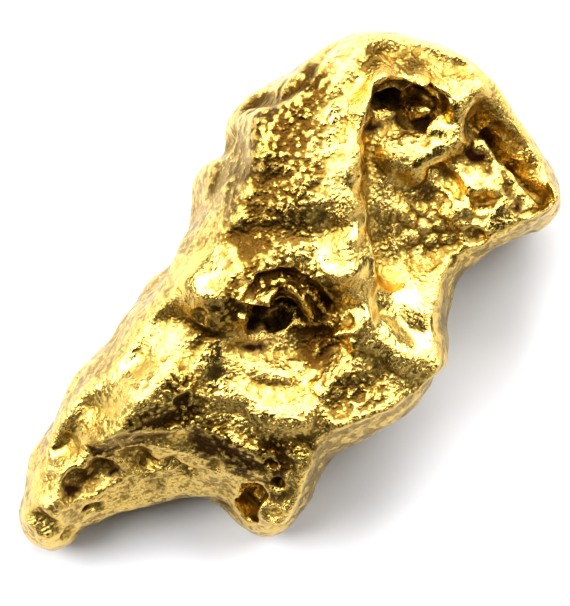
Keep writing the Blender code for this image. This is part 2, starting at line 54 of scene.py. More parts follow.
import bmesh
import bpy
import numpy as np
from bpy.props import FloatProperty, FloatVectorProperty, IntProperty, PointerProperty
from mathutils import Vector, noise

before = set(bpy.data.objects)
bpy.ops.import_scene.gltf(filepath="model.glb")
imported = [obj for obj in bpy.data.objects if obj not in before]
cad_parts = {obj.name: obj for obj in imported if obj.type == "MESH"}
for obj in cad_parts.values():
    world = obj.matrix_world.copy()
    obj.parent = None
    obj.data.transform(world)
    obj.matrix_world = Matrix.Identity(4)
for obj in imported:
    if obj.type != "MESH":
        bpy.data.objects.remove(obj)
CAD_LOW, CAD_HIGH = (np.array(corner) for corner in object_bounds())

MM = 0.001

# The drawing is in millimetres and degrees, as the solid's is.
LONG_AXIS_DEG = 32.6  # the long axis runs up to the right on the plan by this much
WEAR = 0.06  # the feet are worn flat by this much
TOP_FULLNESS = 1.5  # how the flank above the widest line bulges: 1 is straight, 2 is round
UNDER_FULLNESS = 2.2  # the same below it
UNDER_ROUNDING = 1.7  # how far in from the outline the underside rounds over
SPOT_REACH = 0.8  # how far one spot height spreads
RAGGED = 0.4  # how unevenly a form spreads
SKIN_CELL = 0.07  # cell of the even skin that the forms are worked on
PICTURE_HEIGHT = 606  # cells from the top of the picture to the bottom
PICTURE_CELL = 0.025  # what one cell of the picture covers on the table
CAMERA_SHIFT = (0.636, -0.014)  # where the lens hangs, from the middle of the drawing
CAMERA_LIFT = 3.0  # the level on the nugget that the lens height counts from

# The outline seen from above, clockwise from the tip of the arm: x to the right, y away.
OUTLINE = [
    (-6.90, -5.62), (-6.81, -5.07), (-6.50, -4.15), (-6.04, -3.14), (-5.29, -1.79), (-4.52, -0.95),
    (-3.90, 0.00), (-3.02, 1.25), (-2.37, 2.12), (-2.03, 3.12), (-1.71, 3.85), (-1.50, 4.68),
    (-0.90, 5.35), (0.00, 5.88), (0.72, 6.37), (1.60, 6.75), (2.41, 6.82), (3.33, 6.66),
    (4.54, 6.22), (5.17, 5.60), (5.75, 4.77), (6.62, 3.71), (7.05, 2.75), (6.76, 2.07),
    (5.80, 1.49), (4.83, 0.98), (4.40, 0.62), (4.25, 0.00), (4.15, -0.48), (4.18, -0.98),
    (4.00, -1.70), (3.62, -2.45), (3.00, -3.05), (2.08, -3.53), (1.22, -3.98), (0.88, -4.55),
    (0.58, -5.28), (0.12, -5.78), (-0.45, -6.02), (-1.00, -5.87), (-1.38, -5.50), (-1.80, -5.24),
    (-2.52, -5.20), (-3.35, -5.45), (-4.42, -5.62), (-5.12, -5.80), (-5.46, -6.12), (-5.90, -6.43),
    (-6.20, -6.42), (-6.62, -6.15),
]

# Spots of the widest line: (x, y, its height, how wide the flank above it shows in plan).
EDGE_SPOTS = [
    (-6.6, -5.6, 0.9, 0.3), (-5.9, -6.3, 0.7, 0.5), (-6.0, -3.1, 1.2, 0.32), (-4.2, -0.5, 1.4, 0.75),
    (-2.4, 2.1, 1.6, 1.0), (-1.7, 3.8, 1.6, 1.5), (-1.0, 5.1, 1.8, 1.2), (0.5, 6.2, 1.9, 0.4),
    (2.4, 6.8, 1.9, 0.3), (4.5, 6.2, 2.1, 0.25), (5.6, 4.9, 1.9, 0.13), (6.8, 3.3, 1.7, 0.13),
    (7.0, 2.6, 1.6, 0.5), (5.8, 1.5, 1.5, 0.6), (4.4, 0.5, 1.3, 0.5), (4.1, -1.2, 1.4, 0.5),
    (3.4, -2.7, 1.4, 1.0), (2.1, -3.5, 1.4, 0.9), (1.2, -4.1, 1.2, 0.6), (0.5, -5.2, 0.8, 0.5),
    (-0.5, -6.0, 0.7, 0.6), (-1.6, -5.3, 0.9, 1.2), (-3.2, -5.4, 0.9, 2.0), (-4.6, -5.6, 0.9, 1.4),
]

# Spot heights of the upper surface.
TOP_SPOTS = [
    (-6.5, -5.6, 1.7), (-5.9, -5.1, 2.4), (-5.3, -4.4, 2.9), (-4.6, -3.6, 3.45), (-3.9, -2.9, 3.9),
    (-3.5, -2.2, 4.1), (-2.4, -1.4, 4.4), (-5.0, -4.7, 2.6), (-3.0, -3.2, 3.8), (-1.9, -3.3, 3.85),
    (-2.6, -2.6, 3.9), (-1.6, -2.2, 4.1), (-1.1, -3.8, 3.4), (-3.1, -4.3, 1.95), (-2.0, -4.4, 1.95),
    (-4.4, -4.6, 1.8), (-6.2, -4.3, 2.6), (-5.7, -3.3, 2.85), (-4.9, -2.2, 3.3), (-3.4, -1.5, 4.0),
    (-1.75, 0.5, 4.9), (-1.1, 0.9, 5.1), (-2.3, -0.4, 4.3), (0.1, 0.8, 4.9), (1.1, 0.4, 4.9),
    (1.7, -0.1, 4.7), (0.4, 3.3, 5.4), (-0.4, 3.6, 5.2), (-0.6, 2.2, 5.0), (1.0, 4.8, 5.35),
    (1.5, 2.8, 5.4), (1.6, 1.2, 5.1), (1.95, 1.2, 5.1), (1.9, 2.5, 5.2), (1.85, 3.6, 5.2),
    (2.0, 0.3, 4.8), (1.9, 6.0, 5.2), (0.7, 5.6, 5.35), (-0.5, 4.8, 5.05), (2.9, 5.9, 4.5),
    (3.0, 5.3, 5.2), (4.1, 5.6, 4.3), (4.0, 5.0, 4.9), (5.0, 4.9, 4.2), (6.0, 3.9, 3.7),
    (6.6, 3.0, 3.2), (2.9, 4.6, 4.3), (3.0, 3.7, 4.1), (2.6, 2.8, 2.8), (4.4, 4.6, 4.3),
    (4.0, 3.5, 3.75), (5.2, 3.9, 3.5), (5.0, 3.0, 3.85), (6.0, 3.3, 3.15), (5.8, 2.5, 3.5),
    (5.3, 2.4, 3.75), (3.6, 2.0, 2.9), (2.9, 1.2, 2.4), (2.9, 0.1, 3.85), (3.7, -0.3, 4.0),
    (2.9, -0.5, 4.15), (2.9, -1.1, 4.1), (3.8, -1.4, 3.6), (2.1, -1.7, 4.4), (1.1, -2.4, 4.4),
    (2.9, -2.2, 3.7), (1.7, -3.1, 3.6), (-0.1, -1.7, 4.0), (0.1, -3.2, 4.1), (-0.9, -3.2, 3.9),
    (0.1, -4.6, 3.2), (-0.4, -5.4, 2.2),
]

# Spot heights of the underside: 0 or less is worn flat where it stands.
UNDER_SPOTS = [
    (-6.0, -5.8, -0.3), (-4.8, -4.8, 0.4), (-3.3, -3.9, 0.8), (-2.0, -3.4, 0.6), (-0.5, -5.2, -0.3),
    (0.4, -3.5, 0.3), (1.6, -2.6, 0.6), (2.9, -1.4, 0.7), (-4.6, -2.6, 0.3), (-3.0, -0.8, 0.2),
    (-1.6, 1.0, -0.2), (-0.6, 3.2, -0.3), (0.5, 4.9, 0.1), (0.8, 0.8, 0.5), (2.0, 2.6, 0.3),
    (2.6, 5.3, 0.1), (4.4, 4.4, -0.3), (5.4, 3.0, -0.3), (6.2, 2.6, 0.3), (3.6, 1.2, 0.8),
]

# The forms worked into the skin, in the order they are worked:
# (name, profile, reach, rise, lean, plan points of its line). Rise is along the surface's own
# facing, and lean carries the floor of a hole sideways under its rim, in plan.
FORMS = [
    # the arm
    ("arm_ridge", "dome", 0.7, 0.25, (0, 0),
     [(-6.0, -5.3), (-5.4, -4.5), (-4.7, -3.7), (-3.9, -2.9), (-2.8, -2.1)]),
    ("arm_north_cheek", "dome", 0.7, 0.16, (0, 0), [(-3.7, -1.9), (-2.9, -1.2)]),
    ("arm_ledge", "crest", 0.45, 0.2, (0, 0),
     [(-4.7, -3.5), (-3.9, -3.2), (-2.9, -3.3), (-2.2, -3.15), (-1.3, -3.5), (-0.6, -3.95)]),
    ("arm_pit_wide", "bowl", 0.52, -0.4, (0, 0), [(-5.2, -4.8), (-4.8, -4.75), (-4.55, -4.5)]),
    ("arm_pit_round", "bowl", 0.44, -0.36, (0, 0), [(-3.8, -4.1), (-3.4, -4.35)]),
    ("arm_pit_long", "bowl", 0.34, -0.28, (0, 0), [(-2.95, -4.2), (-2.45, -4.4)]),
    ("arm_pit_small", "bowl", 0.26, -0.18, (0, 0), [(-1.8, -4.2)]),
    ("arm_slit", "dome", 0.24, -0.2, (0, 0), [(-4.95, -5.45), (-4.6, -5.35)]),
    ("tip_pit", "dome", 0.45, -0.28, (0, 0), [(-6.3, -5.7), (-6.1, -5.85)]),
    ("heel_notch", "dome", 0.3, -0.2, (0, 0), [(-5.35, -5.95)]),
    # the shoulder and the back
    ("shoulder", "dome", 1.2, 0.4, (0, 0), [(-1.8, 0.1), (-1.1, 0.4)]),
    ("shoulder_dent", "bowl", 0.22, -0.18, (0, 0), [(-2.25, -0.4)]),
    ("back_lobe", "dome", 0.8, 0.15, (0, 0), [(-0.9, 4.4), (-0.8, 3.7)]),
    ("back_valley", "dome", 0.45, -0.25, (0, 0), [(0.9, 6.4), (0.3, 5.6), (-0.4, 5.15), (-1.0, 5.1)]),
    ("back_dome", "dome", 1.3, 0.2, (0, 0), [(0.5, 3.2), (0.3, 2.4)]),
    ("back_knee", "dome", 0.8, 0.3, (0, 0), [(1.4, 1.0)]),
    # the basin beside the crisp crest
    ("basin_foot", "dome", 0.6, -0.4, (0, 0),
     [(2.5, 4.1), (2.4, 3.5), (2.45, 2.5), (2.6, 1.5), (2.75, 0.9)]),
    ("basin_rough", "dome", 0.8, 0.2, (0, 0), [(3.2, 2.4), (3.7, 1.7), (4.2, 2.4)]),
    ("basin_hollow", "dome", 1.4, -0.15, (0, 0), [(3.1, 1.6), (3.5, 1.5)]),
    ("back_crest", "dome", 0.75, 0.28, (0, 0),
     [(2.2, 5.6), (1.6, 5.0), (1.35, 4.1), (1.4, 2.8), (1.55, 1.7), (1.75, 0.6), (1.9, -0.1)]),
    ("back_edge", "crest", 0.5, 0.28, (0, 0),
     [(2.15, 5.2), (1.85, 4.6), (1.8, 3.8), (1.8, 3.0), (1.95, 2.1), (2.1, 1.4), (2.2, 0.6)]),
    # the north cavity and its cave
    ("north_rim", "dome", 0.6, 0.22, (0, 0), [(2.6, 5.55), (3.3, 5.45), (3.9, 5.15)]),
    ("north_cavity", "bowl", 0.42, -0.5, (0, 0.15), [(2.6, 4.85), (3.2, 4.9), (3.7, 4.7)]),
    ("cavity_floor", "dome", 0.9, -0.4, (0, 0), [(2.7, 4.35), (3.4, 4.3)]),
    ("cave_side", "bowl", 0.3, -0.25, (0, 0.15), [(3.1, 4.95), (3.45, 4.9)]),
    ("cave", "bowl", 0.36, -0.7, (-0.05, 0.2), [(2.45, 4.85), (2.8, 4.9)]),
    ("cavity_step", "dome", 0.5, 0.1, (0, 0), [(2.4, 4.0), (2.9, 3.8), (3.3, 4.1)]),
    # the web and the head
    ("head_basin", "dome", 0.8, -0.35, (0, 0), [(5.2, 4.3), (5.7, 3.9), (6.3, 3.3)]),
    ("web", "dome", 0.55, 0.3, (0, 0),
     [(4.65, 5.3), (4.6, 4.9), (4.35, 4.45), (4.25, 3.9), (3.7, 3.5), (3.3, 3.2)]),
    ("head_trench", "bowl", 0.32, -0.45, (0.08, 0.08), [(5.22, 4.12), (5.85, 3.42), (6.35, 2.8)]),
    ("head_rim", "dome", 0.35, 0.12, (0, 0), [(4.85, 5.25), (5.43, 4.5), (6.25, 3.5), (6.7, 2.7)]),
    ("head_lip", "crest", 0.3, 0.2, (0, 0), [(6.75, 3.0), (6.7, 2.4), (6.2, 2.05)]),
    ("head_pit", "bowl", 0.36, -0.5, (0, 0.1), [(4.95, 4.35)]),
    ("rough_pit", "bowl", 0.36, -0.35, (0, 0), [(3.8, 3.1), (4.2, 2.95)]),
    ("ledge_pit_far", "bowl", 0.28, -0.3, (0, 0), [(4.9, 2.4), (5.3, 2.4)]),
    ("ledge_pit_near", "bowl", 0.26, -0.3, (0, 0), [(4.8, 1.5)]),
    # the saddle and its ridge
    ("saddle_ridge", "dome", 0.75, 0.33, (0, 0), [(1.9, -0.8), (2.5, -1.05), (3.1, -1.3), (3.9, -1.5)]),
    ("south_east_edge", "crest", 0.5, 0.28, (0, 0), [(3.8, -1.6), (3.2, -2.2), (2.3, -2.75), (1.4, -3.1)]),
    # the heart: a hollow with a hole under a curled lobe
    ("heart_hollow", "dome", 1.6, -0.62, (0, 0), [(-0.1, -0.9), (0.5, -1.1)]),
    ("heart_hole", "bowl", 0.5, -1.2, (-0.05, 0.15), [(-0.45, -0.5), (0.0, -0.4)]),
    ("heart_lobe", "dome", 0.4, 0.25, (0.05, -0.05), [(-0.95, 0.05), (-0.6, -0.0)]),
    ("heart_edge", "crest", 0.28, 0.2, (0, 0),
     [(-0.35, 0.25), (0.1, 0.2), (0.5, -0.15), (0.7, -0.6), (1.3, -0.75)]),
    # the south foot
    ("foot_ridge", "dome", 0.7, 0.3, (0, 0), [(0.5, -4.2), (0.3, -4.9), (-0.1, -5.5)]),
    ("foot_hole", "bowl", 0.38, -0.9, (0, 0), [(-1.15, -5.35), (-0.85, -5.05)]),
    ("foot_notch", "bowl", 0.22, -0.3, (0, 0), [(-0.35, -4.6)]),
    ("foot_ring", "bowl", 0.16, -0.14, (0, 0), [(-0.42, -4.15)]),
    ("foot_dent", "bowl", 0.26, -0.15, (0, 0), [(-0.6, -5.5), (-0.3, -5.55)]),
    # the flanks: these lines are given in the round, as x, y and height
    ("north_west_dent", "dome", 1.1, -0.3, (0, 0), [(-3.4, 0.8, 2.8), (-3.0, 1.2, 1.6)]),
    ("north_west_swell", "dome", 1.1, 0.25, (0, 0), [(-2.1, 3.4, 2.4), (-1.9, 2.6, 1.2)]),
    ("lobe_crease", "dome", 0.5, -0.22, (0, 0), [(-1.3, 4.1, 3.4), (-1.7, 3.8, 2.2), (-1.6, 4.0, 1.0)]),
    ("arm_north_pit", "bowl", 0.36, -0.25, (0, 0), [(-5.5, -2.1, 1.9), (-5.3, -1.8, 1.7)]),
    ("arm_north_dent", "bowl", 0.5, -0.22, (0, 0), [(-4.4, -0.8, 1.5)]),
    ("tip_swell", "dome", 0.9, 0.2, (0, 0), [(-6.4, -3.9, 1.2)]),
    ("north_hollow", "dome", 1.0, -0.3, (0, 0), [(0.3, 6.2, 1.6), (1.0, 6.5, 2.6)]),
    ("north_swell", "dome", 0.9, 0.18, (0, 0), [(2.2, 6.8, 1.8)]),
    ("north_pit", "bowl", 0.34, -0.25, (0, 0), [(3.0, 6.7, 2.3)]),
    ("north_east_hollow", "dome", 1.0, -0.28, (0, 0), [(5.0, 5.8, 1.5), (5.7, 4.9, 1.2)]),
    ("head_side_pit", "bowl", 0.32, -0.22, (0, 0), [(6.7, 3.6, 1.5)]),
    ("head_side_dent", "dome", 0.8, -0.25, (0, 0), [(5.7, 1.4, 1.9), (5.0, 1.0, 1.2)]),
    ("saddle_wall", "dome", 0.7, -0.2, (0, 0), [(4.3, 0.1, 0.9)]),
    ("south_east_undercut", "dome", 1.1, -0.35, (0, 0),
     [(3.9, -2.0, 1.0), (3.0, -3.0, 1.0), (1.9, -3.6, 0.9)]),
    ("south_east_pit", "bowl", 0.36, -0.25, (0, 0), [(2.6, -3.2, 2.1)]),
    ("arm_undercut", "dome", 0.9, -0.25, (0, 0), [(-4.2, -5.5, 0.7), (-2.6, -5.2, 0.7)]),
    # the underside
    ("belly_hollow", "dome", 1.6, -0.4, (0, 0), [(0.9, 0.9, 0), (0.0, -1.2, 0)]),
    ("head_hollow_below", "dome", 1.1, -0.35, (0, 0), [(2.2, 4.0, 0), (3.4, 2.6, 0)]),
    ("arm_hollow_below", "dome", 1.1, -0.3, (0, 0), [(-3.8, -2.6, 0), (-2.6, -2.4, 0)]),
    ("belly_ridge", "crest", 0.6, 0.25, (0, 0), [(1.4, -1.8, 0), (0.6, -0.2, 0), (0.9, 1.6, 0)]),
    ("belly_pit", "bowl", 0.5, -0.35, (0, 0), [(-1.2, -1.4, 0), (-0.8, -1.6, 0)]),
    ("head_pit_below", "bowl", 0.4, -0.3, (0, 0), [(4.2, 1.9, 0)]),
    ("arm_pit_below", "bowl", 0.4, -0.25, (0, 0), [(-4.9, -3.9, 0), (-4.6, -3.8, 0)]),
]

# The facets of the top, in the order they are cut: (name, reach, steepness, the way it faces in
# degrees round the plan, 0 right and 90 away, plan points of its line).
FACETS = [
    ("arm_streak", 0.85, 0.4, 110, [(-6.35, -5.1), (-5.85, -4.35), (-5.25, -3.65), (-4.6, -3.05)]),
    ("arm_turn", 1.7, 0.25, 42, [(-3.6, -1.8), (-3.0, -1.3)]),
    ("arm_blotch", 1.3, 0.3, 110, [(-3.9, -2.0), (-3.0, -1.35)]),
    ("arm_shade", 1, 0.35, 280, [(-4.2, -3.4), (-3.4, -3.0), (-2.3, -2.8), (-1.4, -3.0), (-0.6, -3.4)]),
    ("arm_cliff", 0.85, 0.35, 270,
     [(-4.4, -3.85), (-3.6, -3.75), (-2.6, -3.8), (-1.9, -3.75), (-1.1, -4.15), (-0.4, -4.6)]),
    ("shoulder_turn", 1.5, 0.15, 50, [(-1.6, 0.7)]),
    ("comma", 1.1, 0.35, 90, [(-1.9, 0.75), (-1.2, 1.05)]),
    ("comma_tail", 0.59, 0.3, 80, [(-1.75, 0.2), (-1.7, -0.2)]),
    ("heart_shade", 1, 0.4, 265, [(-0.6, 0.75), (0.2, 0.75), (0.8, 0.2)]),
    ("heart_left", 0.68, 0.75, 80, [(-1.15, -1.45), (-1.2, -1.9)]),
    ("heart_near", 0.85, 0.75, 85, [(-0.5, -2.3), (0.2, -2.45)]),
    ("heart_right", 0.61, 0.5, 100, [(0.9, -1.85), (1.35, -1.4)]),
    ("heart_middle", 0.59, 0.3, 80, [(-0.2, -1.6), (0.4, -1.5)]),
    ("crest_band", 0.8, 0.6, 122, [(2.3, 5.6), (1.63, 4.65), (1.33, 3.3), (1.4, 1.9), (1.5, 1.0)]),
    ("rim_north", 1.0, 0.6, 80, [(2.6, 5.75), (3.4, 5.65), (4.1, 5.25)]),
    ("rim_east", 0.5, 0.45, 50, [(5.0, 5.4), (5.62, 4.62), (6.42, 3.6), (6.85, 2.7)]),
    ("cavity_step_face", 0.9, 0.25, 90, [(2.7, 3.9), (3.3, 3.9)]),
    ("cavity_wedge_face", 0.61, 0.35, 80, [(3.1, 4.25), (3.6, 4.3)]),
    ("shelf_face", 0.48, 0.5, 90, [(4.65, 4.1), (5.05, 3.95)]),
    ("bump_face", 0.94, 0.6, 110, [(4.8, 3.35), (5.3, 3.05)]),
    ("bump_far_face", 0.71, 0.45, 100, [(5.75, 2.6), (6.1, 2.2)]),
    ("bump_near_face", 0.59, 0.35, 90, [(4.3, 2.35), (4.5, 2.0)]),
]

# The unevenness of the whole skin: (size of its waves, how high they stand).
WAVES = [(1.7, 0.10), (0.8, 0.06), (0.42, 0.025)]

# The finer unevenness of its rough places.
FINE_WAVE, FINE_WAVE_HEIGHT = 0.22, 0.018

# What the material calls a full hollow: a small one between grains, and a pit of the larger forms.
HOLLOW_DEPTH = 0.012
PIT_DEPTH = 0.18
INSIDE = 0.999  # the dressed nugget is this much of the solid's box

# Forms too slight or too fine for the solid, worked into the finer skin in the same way.
FINE_FORMS = [
    ("cavity_fill", "dome", 0.45, 0.3, (0, 0), [(3.2, 4.5), (3.6, 4.45)]),
    ("heart_trench", "bowl", 0.22, -0.25, (0, 0),
     [(-0.7, 0.1), (-0.4, 0.45), (0.1, 0.5), (0.6, 0.2), (1.0, -0.3)]),
    ("heart_wire", "dome", 0.15, 0.28, (0, 0),
     [(-0.95, -0.42), (-0.6, -0.34), (-0.3, -0.28), (-0.24, -0.1), (-0.38, 0.15), (-0.22, 0.36),
      (0.05, 0.25), (0.47, -0.05), (0.72, -0.4), (1.17, -0.67), (1.57, -0.75)]),
    ("heart_throat", "bowl", 0.52, -0.6, (-0.05, 0.1), [(-0.4, -0.5), (0.0, -0.4)]),
    ("head_wire", "crest", 0.12, 0.12, (0, 0), [(6.55, 3.1), (6.6, 2.6), (6.4, 2.2)]),
    ("foot_throat", "bowl", 0.32, -0.6, (0, 0), [(-1.15, -5.3), (-0.85, -5.05)]),
    ("trench_side", "dome", 0.3, 0.2, (0, 0), [(5.0, 3.9), (5.7, 3.15), (6.2, 2.6)]),
    ("cave_fill", "dome", 0.42, 0.5, (0, 0), [(3.3, 5.3), (3.42, 4.85)]),
    ("crest_ridge", "dome", 0.5, 0.16, (0, 0),
     [(2.05, 4.95), (1.8, 4.2), (1.66, 3.3), (1.66, 2.5), (1.8, 1.8)]),
]

# Facets too slight for the solid, cut in the same way.
FINE_FACETS = [
    ("rim_outer", 0.45, 0.35, 80, [(3.0, 6.15), (3.8, 5.95), (4.4, 5.6)]),
    ("knee_face", 0.6, 0.5, 112, [(1.4, 1.5), (1.5, 0.8)]),
    ("arm_tip", 0.6, 0.55, 70, [(-6.2, -4.85)]),
    ("arm_mid", 0.6, 0.55, 70, [(-5.5, -3.9)]),
    ("arm_spot", 0.45, 0.5, 80, [(-4.75, -3.2)]),
    ("blotch_face", 0.8, 0.2, 105, [(-3.8, -2.0), (-3.0, -1.4)]),
    ("comma_turn", 0.9, 0.35, -17, [(-1.9, 0.75), (-1.2, 1.05)]),
    ("crest_face", 0.5, 0.3, 118, [(2.2, 5.6), (1.65, 4.7), (1.4, 3.4), (1.45, 1.9), (1.55, 1.0)]),
    ("bump_turn", 0.7, 0.5, 137, [(5.0, 3.2)]),
    ("basin_turn", 1.2, 0.45, 120, [(3.4, 2.3)]),
]

# Ring pits with a raised lip: (x, y, radius).
RINGS = [
    (-2.45, -2.55, 0.27), (1.38, -0.38, 0.22), (1.65, -2.25, 0.2), (-0.42, -4.18, 0.14),
    (-2.25, -0.42, 0.17), (4.8, 1.5, 0.3), (-3.05, -1.2, 0.14), (-3.6, -1.9, 0.12), (-4.6, -2.95, 0.14),
    (0.6, -2.75, 0.12), (2.5, -1.9, 0.14), (-1.3, -2.9, 0.12),
]

# Where the skin is made of coarse grains: (x, y, reach, grain size, grain height).
GRANULES = [
    (3.6, 1.9, 1.5, 0.32, 0.12), (4.4, 2.3, 1.1, 0.3, 0.1), (3.1, 4.1, 0.9, 0.34, 0.09),
    (5.2, 3.1, 1.1, 0.42, 0.1), (-0.4, -2.0, 1.2, 0.26, 0.06), (1.3, -2.0, 1.3, 0.26, 0.07),
    (-2.5, -2.4, 1.2, 0.15, 0.04), (-0.6, -3.4, 1.3, 0.15, 0.04), (0.5, 0.5, 1.3, 0.15, 0.04),
    (1.6, -0.9, 0.9, 0.16, 0.04), (2.2, -2.0, 1.2, 0.16, 0.04), (-1.2, -0.1, 0.9, 0.15, 0.035),
    (0.2, 4.4, 1.8, 0.17, 0.03), (0.4, 2.4, 1.4, 0.17, 0.03), (0.3, 3.4, 3.0, 0.16, 0.02),
    (0.2, 0.8, 1.8, 0.15, 0.02), (-1.8, -2.6, 2.6, 0.15, 0.018), (-4.6, -3.8, 2.4, 0.15, 0.018),
    (2.0, -2.0, 2.0, 0.16, 0.02), (4.6, 3.6, 2.6, 0.16, 0.02),
]

# Where the skin is worn smooth: (x, y, reach, how smooth).
SMOOTH_SPOTS = [
    (3.2, 0.2, 1.0, 1.0), (3.7, -0.3, 0.8, 1.0), (2.4, 2.2, 0.35, 0.9), (2.3, 3.2, 0.35, 0.9),
    (2.5, 1.2, 0.4, 1.0), (4.6, 5.2, 0.3, 0.9), (4.55, 4.8, 0.3, 0.9), (4.35, 4.4, 0.3, 0.9),
    (4.25, 3.95, 0.3, 0.9), (3.9, 3.65, 0.3, 0.9), (3.5, 3.35, 0.3, 0.9), (-1.3, -0.9, 0.35, 1.0),
    (-1.2, -1.4, 0.3, 1.0), (-1.8, 1.0, 0.65, 0.95), (-1.4, 1.3, 0.55, 0.95), (-1.7, 0.2, 0.35, 0.6),
    (-3.8, -2.0, 0.55, 0.9), (-3.1, -1.4, 0.6, 0.9), (-4.6, -3.0, 0.35, 0.9), (-5.2, -3.55, 0.4, 0.85),
    (-5.8, -4.2, 0.4, 0.85), (-6.25, -4.9, 0.4, 0.85), (2.2, -0.7, 0.35, 0.7), (2.8, -1.0, 0.45, 0.7),
    (2.2, 5.6, 0.4, 0.6), (1.7, 4.9, 0.35, 0.7), (1.5, 4.2, 0.3, 0.6), (1.35, 3.2, 0.3, 0.4),
    (1.35, 2.4, 0.35, 0.7), (1.25, 1.6, 0.45, 0.6), (1.5, 1.1, 0.4, 0.6), (4.9, 3.2, 0.5, 0.5),
    (5.9, 2.4, 0.4, 0.5), (5.2, 5.1, 0.35, 0.7), (5.9, 4.5, 0.35, 0.7), (6.5, 3.8, 0.35, 0.7),
    (4.2, 5.6, 0.4, 0.6), (-1.1, -1.7, 0.35, 0.6), (1.2, -1.55, 0.3, 0.6), (-0.1, -2.4, 0.4, 0.4),
]

# Where rough skin darkens towards the deeper gold, partly as brown tarnished skin and partly as painted
# shade: (x, y, reach, how much).
TARNISH_AND_SHADE_SPOTS = [
    (-0.5, 0.9, 0.6, 0.9), (0.1, 1.0, 0.7, 0.9), (0.8, 0.7, 0.7, 0.9), (1.0, 0.1, 0.8, 1.0),
    (1.6, -0.3, 0.6, 1.0), (-0.9, 0.2, 0.6, 0.95), (-1.4, -0.4, 0.6, 0.85), (1.3, -0.9, 0.6, 1.0),
    (-2.1, -1.6, 0.5, 0.9), (-1.9, -2.3, 0.6, 1.0), (-2.6, -2.6, 0.6, 1.0), (-3.3, -2.85, 0.55, 1.0),
    (-4.0, -3.3, 0.5, 1.0), (-4.6, -3.9, 0.4, 0.8), (-1.3, -3.1, 0.7, 1.0), (-0.5, -3.5, 0.7, 1.0),
    (0.3, -3.5, 0.7, 1.0), (1.0, -3.4, 0.6, 0.9), (0.4, -4.3, 0.5, 0.9), (1.9, -1.8, 0.6, 0.7),
    (2.6, -1.9, 0.6, 0.7), (1.9, -2.6, 0.6, 0.7), (0.2, 4.6, 1.4, 0.95), (0.0, 3.2, 1.4, 0.85),
    (-0.3, 2.0, 1.0, 0.9), (0.9, 3.4, 0.8, 0.8), (1.0, 5.6, 1.0, 0.9), (1.1, 4.5, 0.6, 0.8),
    (0.6, 2.2, 0.9, 0.7), (-1.2, 3.6, 1.0, 0.7), (-0.9, 4.8, 0.8, 0.8), (1.5, 0.5, 0.5, 0.9),
    (2.6, 6.3, 0.5, 0.7), (3.6, 6.2, 0.5, 0.7), (3.9, 2.9, 0.6, 0.45), (3.2, 1.9, 0.9, 0.2),
    (4.4, 1.6, 0.7, 0.35), (4.3, 4.2, 0.4, 0.4), (5.5, 4.0, 0.5, 0.6), (6.2, 3.3, 0.5, 0.6),
    (6.9, 2.6, 0.4, 0.9),
]

# Where iron stain and dirt have stayed, and where the deep holes are darkened as painted shade: (x, y,
# reach, how much).
SOIL_AND_SHADE_SPOTS = [
    (-0.2, -0.45, 0.6, 1.0), (2.6, 4.95, 0.55, 1.0), (3.6, 5.0, 0.5, 0.6), (-1.0, -5.15, 0.55, 1.0),
    (4.95, 4.4, 0.4, 0.8), (5.85, 3.5, 0.45, 1.0), (6.35, 2.85, 0.45, 1.0), (5.3, 4.15, 0.45, 1.0),
    (2.6, 5.2, 0.4, 0.8), (3.3, 5.15, 0.4, 0.5), (3.9, 4.85, 0.4, 0.8), (4.0, 3.1, 0.4, 0.5),
    (0.1, 0.5, 0.6, 0.4), (0.9, -0.1, 0.6, 0.5), (-4.9, -4.7, 0.6, 1.0), (-3.65, -4.15, 0.45, 1.0),
    (-2.7, -4.25, 0.4, 0.9), (6.9, 2.5, 0.3, 0.6),
]

# The lights: (name, azimuth, elevation, distance in metres, size in metres, its power's setting,
# its share of that power). Azimuth is on the plan: 0 right, 90 away.
LIGHTS = [
    ("key", 95, 42, 0.12, (0.13, 0.05), "key_power", 1.0),
    ("left", 166, 46, 0.12, (0.08, 0.06), "side_power", 1.3),
    ("right", 35, 42, 0.12, (0.08, 0.05), "side_power", 1.0),
    ("fill", -60, 24, 0.14, (0.16, 0.05), "fill_power", 1.0),
]
SKY_COLOUR = (1.0, 0.88, 0.66, 1.0)
TABLE_HALF = 0.5  # metres


def turned(points):
    """Plan points turned so that the long axis lies along X."""
    a = math.radians(-LONG_AXIS_DEG)
    turn = np.array([[math.cos(a), -math.sin(a)], [math.sin(a), math.cos(a)]])
    points = np.array(points, float)
    points[:, :2] = points[:, :2] @ turn.T
    return points


def smooth_loop(points, steps=6):
    """A closed Catmull-Rom curve through the points."""
    before, after = np.roll(points, 1, 0), np.roll(points, -1, 0)
    beyond = np.roll(points, -2, 0)
    t = (np.arange(steps) / steps)[None, :, None]
    a, b, c, d = (p[:, None, :] for p in (before, points, after, beyond))
    curve = 0.5 * (2 * b + (c - a) * t + (2 * a - 5 * b + 4 * c - d) * t**2 + (3 * b - a - 3 * c + d) * t**3)
    return curve.reshape(-1, 2)


def depth_inside(xy, loop):
    """How far each plan point lies inside the loop."""
    start, run = loop, np.roll(loop, -1, 0) - loop
    nearest = np.full(len(xy), 1e9)
    for s, r in zip(start, run):
        t = np.clip(((xy - s) @ r) / (r @ r), 0, 1)
        nearest = np.minimum(nearest, np.hypot(*(xy - s - t[:, None] * r).T))
    return nearest


def spot_values(xy, spots, reach=SPOT_REACH):
    """The smooth surfaces through the spots' values, read at each plan point."""
    spots = turned(spots)
    gap = ((xy[:, None, :] - spots[None, :, :2]) ** 2).sum(2)
    weight = np.exp(-gap / (2 * reach**2)) + 1e-9 / (gap + 0.1)
    return (weight @ spots[:, 2:] / weight.sum(1)[:, None]).T


def rounding(depth, width, fullness):
    """0 on the outline, rising like a round edge to 1 at width inside it."""
    t = np.clip(depth / width, 0, 1)
    return (1 - (1 - t) ** fullness) ** (1 / fullness)


